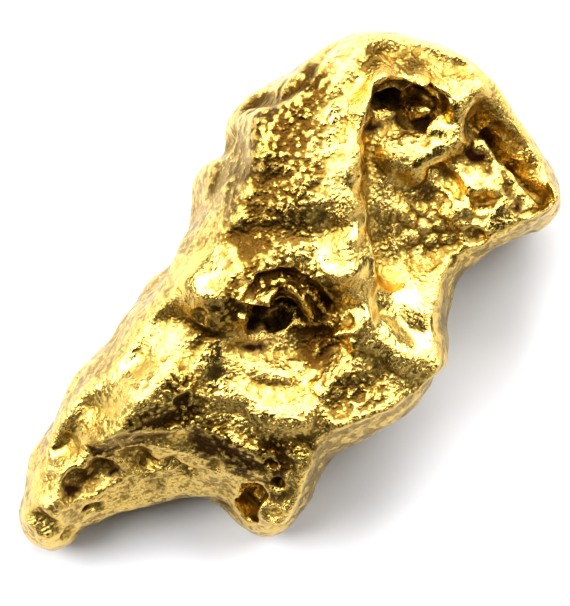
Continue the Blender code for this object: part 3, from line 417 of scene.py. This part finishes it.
def blank():
    """The whole lump without its forms: a ball drawn out to the outline and the spot heights."""
    bm = bmesh.new()
    bmesh.ops.create_icosphere(bm, subdivisions=7, radius=1.0)
    ball = np.array([v.co for v in bm.verts])
    loop = smooth_loop(turned(OUTLINE))
    low, high = loop[:, 0].min(), loop[:, 0].max()
    middle, half = (low + high) / 2, (high - low) / 2
    tip, end = int(loop[:, 0].argmin()), int(loop[:, 0].argmax())
    around = np.roll(loop, -tip, 0)
    end = (end - tip) % len(loop)
    sides = []
    for side in (around[: end + 1], np.vstack([around[end:], around[:1]])[::-1]):
        swing = np.arcsin(np.clip((side[:, 0] - middle) / half, -1, 1))
        sides.append((swing, side[:, 1]))
    swing = np.arcsin(np.clip(ball[:, 0], -1, 1))
    far, near = (np.interp(swing, s, y) for s, y in sides)
    around_section = np.hypot(ball[:, 1], ball[:, 2]) + 1e-9
    across = ball[:, 1] / around_section
    x = middle + half * ball[:, 0]
    y = (far + near) / 2 + (far - near) / 2 * across
    xy = np.column_stack([x, y])
    depth = depth_inside(xy, loop)
    edge, width = spot_values(xy, EDGE_SPOTS, 1.0)
    (top,), (under,) = spot_values(xy, TOP_SPOTS), spot_values(xy, UNDER_SPOTS)
    top = edge + (top - edge) * rounding(depth, width, TOP_FULLNESS)
    under = edge + (under - edge) * rounding(depth, UNDER_ROUNDING, UNDER_FULLNESS)
    z = np.where(ball[:, 2] >= 0, top, under)
    for vert, co in zip(bm.verts, np.column_stack([x, y, z])):
        vert.co = co
    return bm


def dome(r):
    """A soft swelling."""
    return (1 - r**2) ** 2


def crest(r):
    """A ridge that comes to an edge."""
    return (1 - r) ** 1.5


def bowl(r):
    """A nearly flat middle with steep sides."""
    t = np.clip((r - 0.15) / 0.85, 0, 1)
    return 1 - t * t * (3 - 2 * t)


def waves(co, size):
    """Smooth noise between -1 and 1, with waves of the given size."""
    return np.array([noise.noise(Vector(p) / size) for p in co.tolist()])


PROFILES = {"dome": dome, "crest": crest, "bowl": bowl}


class Skin:
    """The vertices of a mesh as they are worked, with the direction that each one faces."""

    def __init__(self, mesh):
        self.mesh = mesh
        mesh.calc_loop_triangles()
        self.faces = np.zeros(len(mesh.loop_triangles) * 3, np.int32)
        mesh.loop_triangles.foreach_get("vertices", self.faces)
        self.faces = self.faces.reshape(-1, 3)
        self.co = np.zeros(len(mesh.vertices) * 3, np.float32)
        mesh.vertices.foreach_get("co", self.co)
        self.co = self.co.reshape(-1, 3).astype(float)
        self.face_on()

    def face_on(self):
        """Finds the way each vertex faces, after the skin has moved."""
        a, b, c = (self.co[self.faces[:, i]] for i in range(3))
        flat = np.cross(b - a, c - a)
        total = np.zeros_like(self.co)
        for i in range(3):
            for axis in range(3):
                total[:, axis] += np.bincount(self.faces[:, i], flat[:, axis], len(self.co))
        self.normal = total / (np.linalg.norm(total, axis=1)[:, None] + 1e-12)

    def seed(self, point):
        """The vertex that shows at this plan point, or the nearest one to a point in the round."""
        gap = ((self.co[:, : len(point)] - point) ** 2).sum(1)
        if len(point) == 3:
            return int(gap.argmin())
        near = np.flatnonzero(gap < max(0.04, gap.min() * 4))
        return near[np.argmax(self.co[near, 2])]

    def work(self, profile, reach, rise, lean, points):
        """Raises or sinks a form along a line of points."""
        seeds = [self.seed(p) for p in turned(points)]
        spots = self.co[seeds]
        facing = []
        for s in spots:
            close = ((self.co - s) ** 2).sum(1) < (0.8 * reach) ** 2
            mean = self.normal[close].sum(0)
            facing.append(mean / np.linalg.norm(mean))
        facing = np.array(facing)
        low, high = spots.min(0) - reach, spots.max(0) + reach
        near = np.flatnonzero(((self.co > low) & (self.co < high)).all(1))
        co = self.co[near]
        best = np.full(len(near), 1e9)
        way = np.zeros((len(near), 3))
        pairs = [(i, i + 1) for i in range(len(spots) - 1)] or [(0, 0)]
        for i, j in pairs:
            run = spots[j] - spots[i]
            t = np.clip((co - spots[i]) @ run / max(run @ run, 1e-9), 0, 1)[:, None]
            gap = np.linalg.norm(co - spots[i] - t * run, axis=1)
            closer = gap < best
            best[closer] = gap[closer]
            way[closer] = ((1 - t) * facing[i] + t * facing[j])[closer]
        best = best * (1 + RAGGED * waves(co, reach * 0.9))
        inside = best < reach
        near, way = near[inside], way[inside]
        amount = PROFILES[profile](best[inside] / reach)
        amount = amount * np.clip((self.normal[near] * way).sum(1) * 2 + 0.6, 0, 1)
        sideways = np.append(turned([lean])[0], 0)
        self.co[near] += amount[:, None] * (rise * way + sideways)
        self.face_on()

    def cut(self, reach, steepness, azimuth, points):
        """Tilts the top along a line of plan points, so that it faces the azimuth."""
        points = turned(points)
        height = self.co[[self.seed(p) for p in points], 2]
        a = math.radians(azimuth - LONG_AXIS_DEG)
        way = np.array([math.cos(a), math.sin(a)])
        best = np.full(len(self.co), 1e9)
        along, level = np.zeros(len(self.co)), np.zeros(len(self.co))
        pairs = [(i, i + 1) for i in range(len(points) - 1)] or [(0, 0)]
        for i, j in pairs:
            run = points[j] - points[i]
            t = np.clip((self.co[:, :2] - points[i]) @ run / max(run @ run, 1e-9), 0, 1)
            apart = self.co[:, :2] - points[i] - t[:, None] * run
            gap = np.hypot(*apart.T)
            closer = gap < best
            best[closer] = gap[closer]
            along[closer] = (apart @ way)[closer]
            level[closer] = ((1 - t) * height[i] + t * height[j])[closer]
        near = np.flatnonzero((best < reach * 1.5) & (np.abs(self.co[:, 2] - level) < 0.8))
        r = best[near] / reach * (1 + RAGGED * waves(self.co[near], reach * 0.9))
        amount = steepness * along[near] * np.clip(1 - r**2, 0, 1) ** 2
        self.co[near, 2] -= amount * np.clip(self.normal[near, 2] * 2, 0, 1)
        self.face_on()

    def write(self):
        """Gives the worked places back to the mesh."""
        self.mesh.vertices.foreach_set("co", self.co.astype(np.float32).ravel())
        self.mesh.update()


def applied(mesh, name, kind, **settings):
    """The mesh as one modifier leaves it."""
    obj = bpy.data.objects.new(name, mesh)
    bpy.context.collection.objects.link(obj)
    modifier = obj.modifiers.new(name, kind)
    for setting, value in settings.items():
        setattr(modifier, setting, value)
    made = bpy.data.meshes.new_from_object(obj.evaluated_get(bpy.context.evaluated_depsgraph_get()))
    bpy.data.objects.remove(obj)
    bpy.data.meshes.remove(mesh)
    return made


def even(mesh, cell):
    """The same form with an even skin of this cell."""
    return applied(mesh, "Even skin", "REMESH", mode="VOXEL", voxel_size=cell)


def smoothed(mesh, times=1):
    """The same skin, softened this many times."""
    bm = bmesh.new()
    bm.from_mesh(mesh)
    axes = {"use_axis_x": True, "use_axis_y": True, "use_axis_z": True}
    for _ in range(times):
        bmesh.ops.smooth_vert(bm, verts=bm.verts, factor=0.5, **axes)
    bm.to_mesh(mesh)
    bm.free()
    return mesh


def lightened(mesh, faces):
    """The same form with fewer triangles."""
    mesh.calc_loop_triangles()
    ratio = faces / len(mesh.loop_triangles)
    return applied(mesh, "Lighten", "DECIMATE", ratio=ratio, use_collapse_triangulate=True)


def rested(skin):
    """Wears the feet flat at the height of the surface the nugget lies on."""
    skin.co[:, 2] = np.where(skin.co[:, 2] < WEAR, 0, skin.co[:, 2])


def grains(co, size):
    """How far each point lies from the middle of its grain: 0 in the middle, about 1 between grains."""
    return np.array([noise.voronoi(Vector(p) / size)[0][0] for p in co.tolist()])


def near_spots(co, spots):
    """For each spot (x, y, reach, ...) its fading weight at each vertex, seen from above."""
    for spot in spots:
        (x, y), reach = turned([spot[:2]])[0], spot[2]
        gap = np.hypot(co[:, 0] - x, co[:, 1] - y) / reach
        yield spot, np.clip(1 - gap**2, 0, 1) ** 2


def ring(skin, x, y, radius):
    """A round pit with a raised lip."""
    middle = skin.co[skin.seed(turned([(x, y)])[0])]
    gap = np.linalg.norm(skin.co - middle, axis=1) / radius
    near = np.flatnonzero(gap < 1.6)
    r = gap[near] * (1 + 0.25 * waves(skin.co[near], radius))
    lip = np.exp(-(((r - 1) / 0.28) ** 2)) * 0.1
    pit = np.clip(1 - r**2, 0, 1) * 0.35
    skin.co[near] += ((lip - pit) * radius)[:, None] * skin.normal[near]
    skin.face_on()


def spotted(co, spots, above=1.5):
    """The strongest spot's amount at each vertex, fading to 0 at its reach."""
    amount = np.zeros(len(co))
    for spot, weight in near_spots(co, spots):
        amount = np.maximum(amount, spot[3] * np.clip(weight * 2.5, 0, 1) * (co[:, 2] > above))
    return amount


def granulate(skin):
    """Coarse grains where the skin is rough."""
    up = np.clip(skin.normal[:, 2] * 2.5 - 0.2, 0, 1) * (1 - spotted(skin.co, SMOOTH_SPOTS))
    for spot, weight in near_spots(skin.co, GRANULES):
        size, height = spot[3:]
        near = np.flatnonzero(weight * up > 0.01)
        near = near[skin.co[near, 2] > 1.8]
        r = grains(skin.co[near], size)
        bump = height * weight[near] * up[near] * (0.6 - r**2 * 1.4)
        skin.co[near] += bump[:, None] * skin.normal[near]
    skin.face_on()


def edges_of(mesh):
    """The two vertices of every edge."""
    pairs = np.zeros(len(mesh.edges) * 2, np.int32)
    mesh.edges.foreach_get("vertices", pairs)
    return pairs.reshape(-1, 2)


def averaged(values, pairs, times):
    """The values after each vertex has taken its neighbours' mean this many times."""
    count = np.bincount(pairs.ravel(), minlength=len(values)).astype(float)
    for _ in range(times):
        total = np.zeros_like(values)
        for axis in range(values.shape[1]):
            column = values[:, axis]
            total[:, axis] = np.bincount(pairs[:, 0], column[pairs[:, 1]], len(values))
            total[:, axis] += np.bincount(pairs[:, 1], column[pairs[:, 0]], len(values))
        values = (values + total / count[:, None]) / 2
    return values


def mark(mesh, name, values):
    """Stores one number per vertex for the material."""
    layer = mesh.attributes.new(name, "FLOAT", "POINT")
    layer.data.foreach_set("value", np.asarray(values, np.float32))


class NuggetShape(bpy.types.PropertyGroup):
    """How finely the nugget is made"""

    fine_cell: FloatProperty(
        name="Fine skin cell", description="Cell of the finest skin, in drawn millimetres",
        default=0.052, min=0.03, max=0.2, precision=3,
    )
    triangles: IntProperty(
        name="Triangles", description="Triangles of the finished nugget", default=194000, min=5000
    )


class NuggetFinish(bpy.types.PropertyGroup):
    """The colours and the polish of the gold"""

    gold: FloatVectorProperty(
        name="Gold", description="Colour of the worn gold", subtype="COLOR",
        default=(0.80, 0.59, 0.20), min=0, max=1,
    )
    # Painted shade: this redder, darker gold is mixed into the hollows in place of their shade.
    hollow_shade_gold: FloatVectorProperty(
        name="Deep gold", description="Redder gold in the hollows", subtype="COLOR",
        default=(0.72, 0.49, 0.11), min=0, max=1,
    )
    # Painted shade: this deeper gold also darkens the steep flanks by their steepness alone, and the listed
    # spots partly as shade.
    patina_and_shade: FloatVectorProperty(
        name="Patina", description="Deeper gold of the unworn skin", subtype="COLOR",
        default=(0.36, 0.26, 0.05), min=0, max=1,
    )
    # Painted shade: besides the tarnished specks between grains, this brown darkens the deep pits by their
    # depth.
    tarnish_and_shade: FloatVectorProperty(
        name="Tarnish", description="Brown in the smallest pits", subtype="COLOR",
        default=(0.09, 0.045, 0.01), min=0, max=1,
    )
    # Painted shade: this near-black fills the deep holes, partly as iron stain and partly in place of their
    # shade.
    soil_and_shade: FloatVectorProperty(
        name="Soil", description="Iron stain left deep in the pits", subtype="COLOR",
        default=(0.05, 0.016, 0.003), min=0, max=1,
    )
    roughness: FloatProperty(
        name="Roughness", description="Roughness of the worn skin", default=0.24, min=0, max=1,
        subtype="FACTOR",
    )


class NuggetStage(bpy.types.PropertyGroup):
    """The table, the lights and the lens"""

    key_power: FloatProperty(
        name="Key light", description="Power of the wide light on the far side", default=0.15,
        unit="POWER",
    )
    side_power: FloatProperty(
        name="Side lights", description="Power of the lights beside the key", default=0.1,
        unit="POWER",
    )
    fill_power: FloatProperty(
        name="Fill light", description="Power of the low light in front", default=0.02,
        unit="POWER",
    )
    sky: FloatProperty(name="Sky", description="Strength of the even warm sky", default=0.03, min=0)
    table: FloatVectorProperty(
        name="Table", description="Colour of the table", subtype="COLOR",
        default=(0.76, 0.76, 0.78), min=0, max=1,
    )
    exposure: FloatProperty(name="Exposure", description="Stops added to the picture", default=0.0)
    lens_height: FloatProperty(
        name="Lens height", description="Height of the lens above the upper part of the nugget",
        default=0.066, unit="LENGTH", subtype="DISTANCE", precision=4,
    )


# The Mix node has sockets for numbers, vectors and colours under the same names: these are the
# places of the colours' ones.
MIX_COLOURS = (6, 7)
MIX_RESULT = 2


class Wire:
    """A shader socket that takes part in Python expressions as a number."""

    def __init__(self, shader, socket):
        self.shader, self.socket = shader, socket

    def maths(self, operation, other, swap=False, clamp=False):
        values = (other, self) if swap else (self, other)
        return self.shader.node("ShaderNodeMath", {"operation": operation, "use_clamp": clamp}, values)

    def __add__(self, other):
        return self.maths("ADD", other)

    __radd__ = __add__

    def __sub__(self, other):
        return self.maths("SUBTRACT", other)

    def __rsub__(self, other):
        return self.maths("SUBTRACT", other, swap=True)

    def __mul__(self, other):
        return self.maths("MULTIPLY", other)

    __rmul__ = __mul__

    def kept(self, low=0.0, high=1.0):
        """Clamped, then stretched from low..high to 0..1."""
        return ((self - low) * (1 / (high - low))).maths("ADD", 0.0, clamp=True)


class Shader:
    """A material and the nodes that make it."""

    def __init__(self, name):
        self.material = bpy.data.materials.new(name)
        self.material.use_nodes = True
        self.tree = self.material.node_tree
        self.surface = self.tree.nodes["Principled BSDF"]

    def put(self, socket, value):
        """Links a wire to a socket, or sets the socket's value."""
        if isinstance(value, Wire):
            self.tree.links.new(value.socket, socket)
        else:
            socket.default_value = value

    def node(self, kind, settings=None, values=None, out=0):
        """One node: its settings first, then its sockets by name or in order. Gives its output."""
        made = self.tree.nodes.new(kind)
        for name, value in (settings or {}).items():
            setattr(made, name, value)
        pairs = values.items() if isinstance(values, dict) else enumerate(values or ())
        for key, value in pairs:
            self.put(made.inputs[key], value)
        return Wire(self, made.outputs[out])

    def attribute(self, name):
        """A number that the mesh holds for each vertex."""
        return self.node("ShaderNodeAttribute", {"attribute_name": name}, out="Fac")

    def noise(self, where, scale, detail, roughness):
        values = {"Vector": where, "Scale": scale, "Detail": detail, "Roughness": roughness}
        return self.node("ShaderNodeTexNoise", {}, values)

    def mixed(self, amount, a, b):
        """Colour a turning into colour b."""
        a, b = (colour if isinstance(colour, Wire) else (*colour, 1.0) for colour in (a, b))
        values = {"Factor": amount, MIX_COLOURS[0]: a, MIX_COLOURS[1]: b}
        return self.node("ShaderNodeMix", {"data_type": "RGBA"}, values, out=MIX_RESULT)


def native_gold(finish):
    """Worn gold: grainy, polished on the heights, redder and duller in the hollows, where the redder, darker
    gold is painted shade. The steep flanks, the listed spots and the deep holes are also darkened in colour
    as painted shade, partly as tarnished and soiled skin.
    """
    shader = Shader("native_gold")
    where = shader.node("ShaderNodeTexCoord", out="Object")
    hollow, pit = shader.attribute("hollow"), shader.attribute("pit")
    rough = shader.attribute("rough")

    # The finest grain is 0.2 to 0.05 mm across and 0.03 mm high.
    lumps = shader.noise(where, 5200.0, 3.0, 0.6)
    cells = shader.node("ShaderNodeTexVoronoi", {"feature": "SMOOTH_F1"},
                        {"Vector": where, "Scale": 10500.0, "Smoothness": 0.6}, out="Distance")
    fine = shader.noise(where, 21000.0, 3.0, 0.65)
    relief = (lumps * 0.8 - cells * 0.8 + fine * 0.7) * (rough * 0.85 + 0.15)
    bump = shader.node("ShaderNodeBump", {}, {"Strength": 1.0, "Distance": 0.000032, "Height": relief},
                       out="Normal")

    # Tarnished specks keep to the pits between grains, and painted shade darkens the deep pits; dirt and
    # painted shade darken the deep holes; the steep flanks and the listed spots take the deeper gold, partly
    # as painted shade; wear cleans the heights.
    tarnish_and_shade = shader.attribute("tarnish_and_shade")
    specks = cells * 0.8 - fine * 0.6 - lumps * 0.9 + hollow * 0.25 + tarnish_and_shade * 0.42 + 0.36
    specks = specks.kept(0.0, 0.2) * (rough * 0.8 + tarnish_and_shade * 0.2)
    # Painted shade: the listed holes go near-black by their depth, partly as iron stain.
    soil_and_shade = (shader.attribute("soil_and_shade") * (pit + 0.1).kept(0.0, 0.35)).kept(0.05, 0.85)
    worn = (0 - hollow).kept(0.05, 0.6)
    # Painted shade: the steep flanks and the listed spots turn towards the deeper gold, partly as tarnished
    # skin.
    aged_and_shaded = (tarnish_and_shade * (specks * 0.35 + 0.62) * (1 - worn * 0.6)).kept()
    # Painted shade: the deep pits darken towards the brown by their depth alone, on top of the tarnished
    # specks between grains.
    stain_and_shade = (specks * (tarnish_and_shade * 0.3 + 0.68) + pit.kept(0.6, 1.6) * 0.4) * (1 - worn * 0.8)

    # Painted shade: the hollows turn towards the redder, darker gold.
    colour = shader.mixed(hollow.kept(0.05, 0.8) * 0.5, tuple(finish.gold), tuple(finish.hollow_shade_gold))
    colour = shader.mixed(aged_and_shaded, colour, tuple(finish.patina_and_shade))
    colour = shader.mixed(stain_and_shade.kept(), colour, tuple(finish.tarnish_and_shade))
    colour = shader.mixed(soil_and_shade, colour, tuple(finish.soil_and_shade))
    dull = (hollow.kept(0.1, 1.0) + stain_and_shade) * 0.12 + fine * 0.16 + soil_and_shade * 0.3
    shader.put(shader.surface.inputs["Base Color"], colour)
    shader.put(shader.surface.inputs["Roughness"], dull + (finish.roughness - 0.08))
    shader.put(shader.surface.inputs["Metallic"], 1 - soil_and_shade * 0.8)
    shader.put(shader.surface.inputs["Normal"], bump)
    shader.put(shader.surface.inputs["Specular IOR Level"], 0.15)
    return shader.material


def worked(skin, forms, facets):
    """Works the forms into the skin, then cuts the facets."""
    for _, *form in forms:
        skin.work(*form)
    for _, *facet in facets:
        skin.cut(*facet)


def first_skin():
    """The lump with the forms and facets that the solid has too."""
    mesh = bpy.data.meshes.new("blank")
    bm = blank()
    bm.to_mesh(mesh)
    bm.free()
    mesh = smoothed(even(mesh, SKIN_CELL), 2)
    skin = Skin(mesh)
    worked(skin, FORMS, FACETS)
    for size, height in WAVES:
        skin.co += (height * waves(skin.co, size))[:, None] * skin.normal
        skin.face_on()
    skin.write()
    return mesh


def fine_skin(mesh, cell):
    """A finer skin over the first, with the slight forms, the grains and the ring pits."""
    mesh = smoothed(even(mesh, cell), 1)
    skin = Skin(mesh)
    worked(skin, FINE_FORMS, FINE_FACETS)
    rough = FINE_WAVE_HEIGHT * (1 - spotted(skin.co, SMOOTH_SPOTS))
    skin.co += (rough * waves(skin.co, FINE_WAVE))[:, None] * skin.normal
    skin.face_on()
    granulate(skin)
    for place in RINGS:
        ring(skin, *place)
    skin.write()
    return mesh


def weather(mesh, skin):
    """Marks where the skin is hollow, pitted and rough, where it is soiled and tarnished, and where painted
    shade darkens it: in the deep holes, on the steep flanks and at the listed spots.
    """
    pairs = edges_of(mesh)
    fine = averaged(skin.co, pairs, 6)
    broad = averaged(fine, pairs, 60)
    mark(mesh, "hollow", ((fine - skin.co) * skin.normal).sum(1) / HOLLOW_DEPTH)
    mark(mesh, "pit", ((broad - skin.co) * skin.normal).sum(1) / PIT_DEPTH)
    # Painted shade: the listed holes, kept with their iron stain.
    mark(mesh, "soil_and_shade", spotted(skin.co, SOIL_AND_SHADE_SPOTS, 1.0))
    steep = np.clip(1.35 - skin.normal[:, 2] * 2.2, 0, 1)
    patches = np.clip(waves(skin.co, 0.5) + waves(skin.co, 0.16) * 0.8 + 0.45, 0, 1)
    # Painted shade: the steep flanks darken by their steepness alone, and the listed spots partly as shade;
    # both are kept in one mask.
    tarnish_and_shade = averaged(spotted(skin.co, TARNISH_AND_SHADE_SPOTS)[:, None], pairs, 12)[:, 0]
    mark(mesh, "tarnish_and_shade", np.maximum(tarnish_and_shade * (1 - steep * 0.5), steep * (0.33 + patches * 0.6)))
    mark(mesh, "rough", (1 - 0.85 * spotted(skin.co, SMOOTH_SPOTS)) * (1 - 0.55 * steep))


class NUGGET_OT_lump(bpy.types.Operator):
    """Sculpts the nugget and gives it its gold"""

    bl_idname = "nugget.lump"
    bl_label = "Nugget"

    def execute(self, context):
        shape, finish = context.scene.nugget_shape, context.scene.nugget_finish
        mesh = lightened(fine_skin(first_skin(), shape.fine_cell), shape.triangles)
        skin = Skin(mesh)
        rested(skin)
        low, high = skin.co.min(0), skin.co.max(0)
        fit = (CAD_HIGH - CAD_LOW) / (high - low) * INSIDE
        fit = np.minimum(fit, fit[:2].min())
        skin.co[:, :2] += ((CAD_LOW + CAD_HIGH) / 2 / fit - (low + high) / 2)[:2]
        weather(mesh, skin)
        skin.co *= fit
        skin.write()

        mesh.name = "gold_nugget"
        mesh.shade_smooth()
        mesh.materials.append(native_gold(finish))
        nugget = bpy.data.objects.new("gold_nugget", mesh)
        context.collection.objects.link(nugget)
        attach(nugget, "root")
        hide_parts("nugget")
        return {"FINISHED"}


def softbox(name, azimuth, elevation, distance, size, power):
    """A rectangular light that looks at the nugget."""
    a, e = math.radians(azimuth - LONG_AXIS_DEG), math.radians(elevation)
    way = Vector((math.cos(a) * math.cos(e), math.sin(a) * math.cos(e), math.sin(e)))
    lamp = bpy.data.lights.new(name, "AREA")
    lamp.shape = "RECTANGLE"
    lamp.size, lamp.size_y = size
    lamp.energy = power
    holder = bpy.data.objects.new(name, lamp)
    holder.location = way * distance
    holder.rotation_mode = "QUATERNION"
    holder.rotation_quaternion = way.to_track_quat("Z", "Y")
    holder.visible_camera = False
    bpy.context.collection.objects.link(holder)


def studio_sky(strength):
    """An even warm light from all round."""
    world = bpy.data.worlds.new("studio")
    world.use_nodes = True
    sky = world.node_tree.nodes["Background"]
    sky.inputs["Color"].default_value = SKY_COLOUR
    sky.inputs["Strength"].default_value = strength
    return world


def hung_camera(lens_height):
    """A camera that looks straight down, turned so that the nugget lies as it was drawn."""
    camera = bpy.data.cameras.new("camera")
    camera.sensor_width = 36.0
    camera.lens = camera.sensor_width * lens_height / (PICTURE_HEIGHT * PICTURE_CELL * MM)
    camera.clip_start = 0.001
    holder = bpy.data.objects.new("camera", camera)
    holder.location = (CAMERA_SHIFT[0] * MM, CAMERA_SHIFT[1] * MM, lens_height + CAMERA_LIFT * MM)
    holder.rotation_euler = (0, 0, math.radians(-LONG_AXIS_DEG))
    return holder


class NUGGET_OT_stage(bpy.types.Operator):
    """Sets out the table, the lights and the camera"""

    bl_idname = "nugget.stage"
    bl_label = "Table and lights"

    def execute(self, context):
        stage, scene = context.scene.nugget_stage, context.scene
        bm = bmesh.new()
        bmesh.ops.create_grid(bm, x_segments=1, y_segments=1, size=TABLE_HALF)
        mesh = bpy.data.meshes.new("table")
        bm.to_mesh(mesh)
        bm.free()
        paper = Shader("pale_table")
        paper.put(paper.surface.inputs["Base Color"], (*stage.table, 1.0))
        paper.put(paper.surface.inputs["Roughness"], 0.9)
        mesh.materials.append(paper.material)
        table = bpy.data.objects.new("table", mesh)
        context.collection.objects.link(table)
        table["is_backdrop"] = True

        for name, azimuth, elevation, distance, size, setting, share in LIGHTS:
            softbox(name, azimuth, elevation, distance, size, getattr(stage, setting) * share)
        scene.world = studio_sky(stage.sky)
        scene.view_settings.view_transform = "Standard"
        scene.view_settings.look = "High Contrast"
        scene.view_settings.exposure = stage.exposure
        scene.camera = hung_camera(stage.lens_height)
        context.collection.objects.link(scene.camera)
        return {"FINISHED"}


class NUGGET_PT_panel(bpy.types.Panel):
    """Everything that makes the nugget and its table"""

    bl_label = "Gold nugget"
    bl_space_type = "VIEW_3D"
    bl_region_type = "UI"
    bl_category = "Nugget"

    def draw(self, context):
        for operator, group in (
            (NUGGET_OT_lump, context.scene.nugget_shape),
            (None, context.scene.nugget_finish),
            (NUGGET_OT_stage, context.scene.nugget_stage),
        ):
            box = self.layout.box()
            for name in group.bl_rna.properties.keys():
                if name not in ("rna_type", "name"):
                    box.prop(group, name)
            if operator:
                box.operator(operator.bl_idname)


GROUPS = {"nugget_shape": NuggetShape, "nugget_finish": NuggetFinish, "nugget_stage": NuggetStage}
CLASSES = (*GROUPS.values(), NUGGET_OT_lump, NUGGET_OT_stage, NUGGET_PT_panel)


def register():
    for item in CLASSES:
        bpy.utils.register_class(item)
    for name, group in GROUPS.items():
        setattr(bpy.types.Scene, name, PointerProperty(type=group))


def unregister():
    for name in GROUPS:
        delattr(bpy.types.Scene, name)
    for item in reversed(CLASSES):
        bpy.utils.unregister_class(item)


def main():
    register()
    bpy.ops.nugget.lump()
    bpy.ops.nugget.stage()


if __name__ == "__main__":
    main()
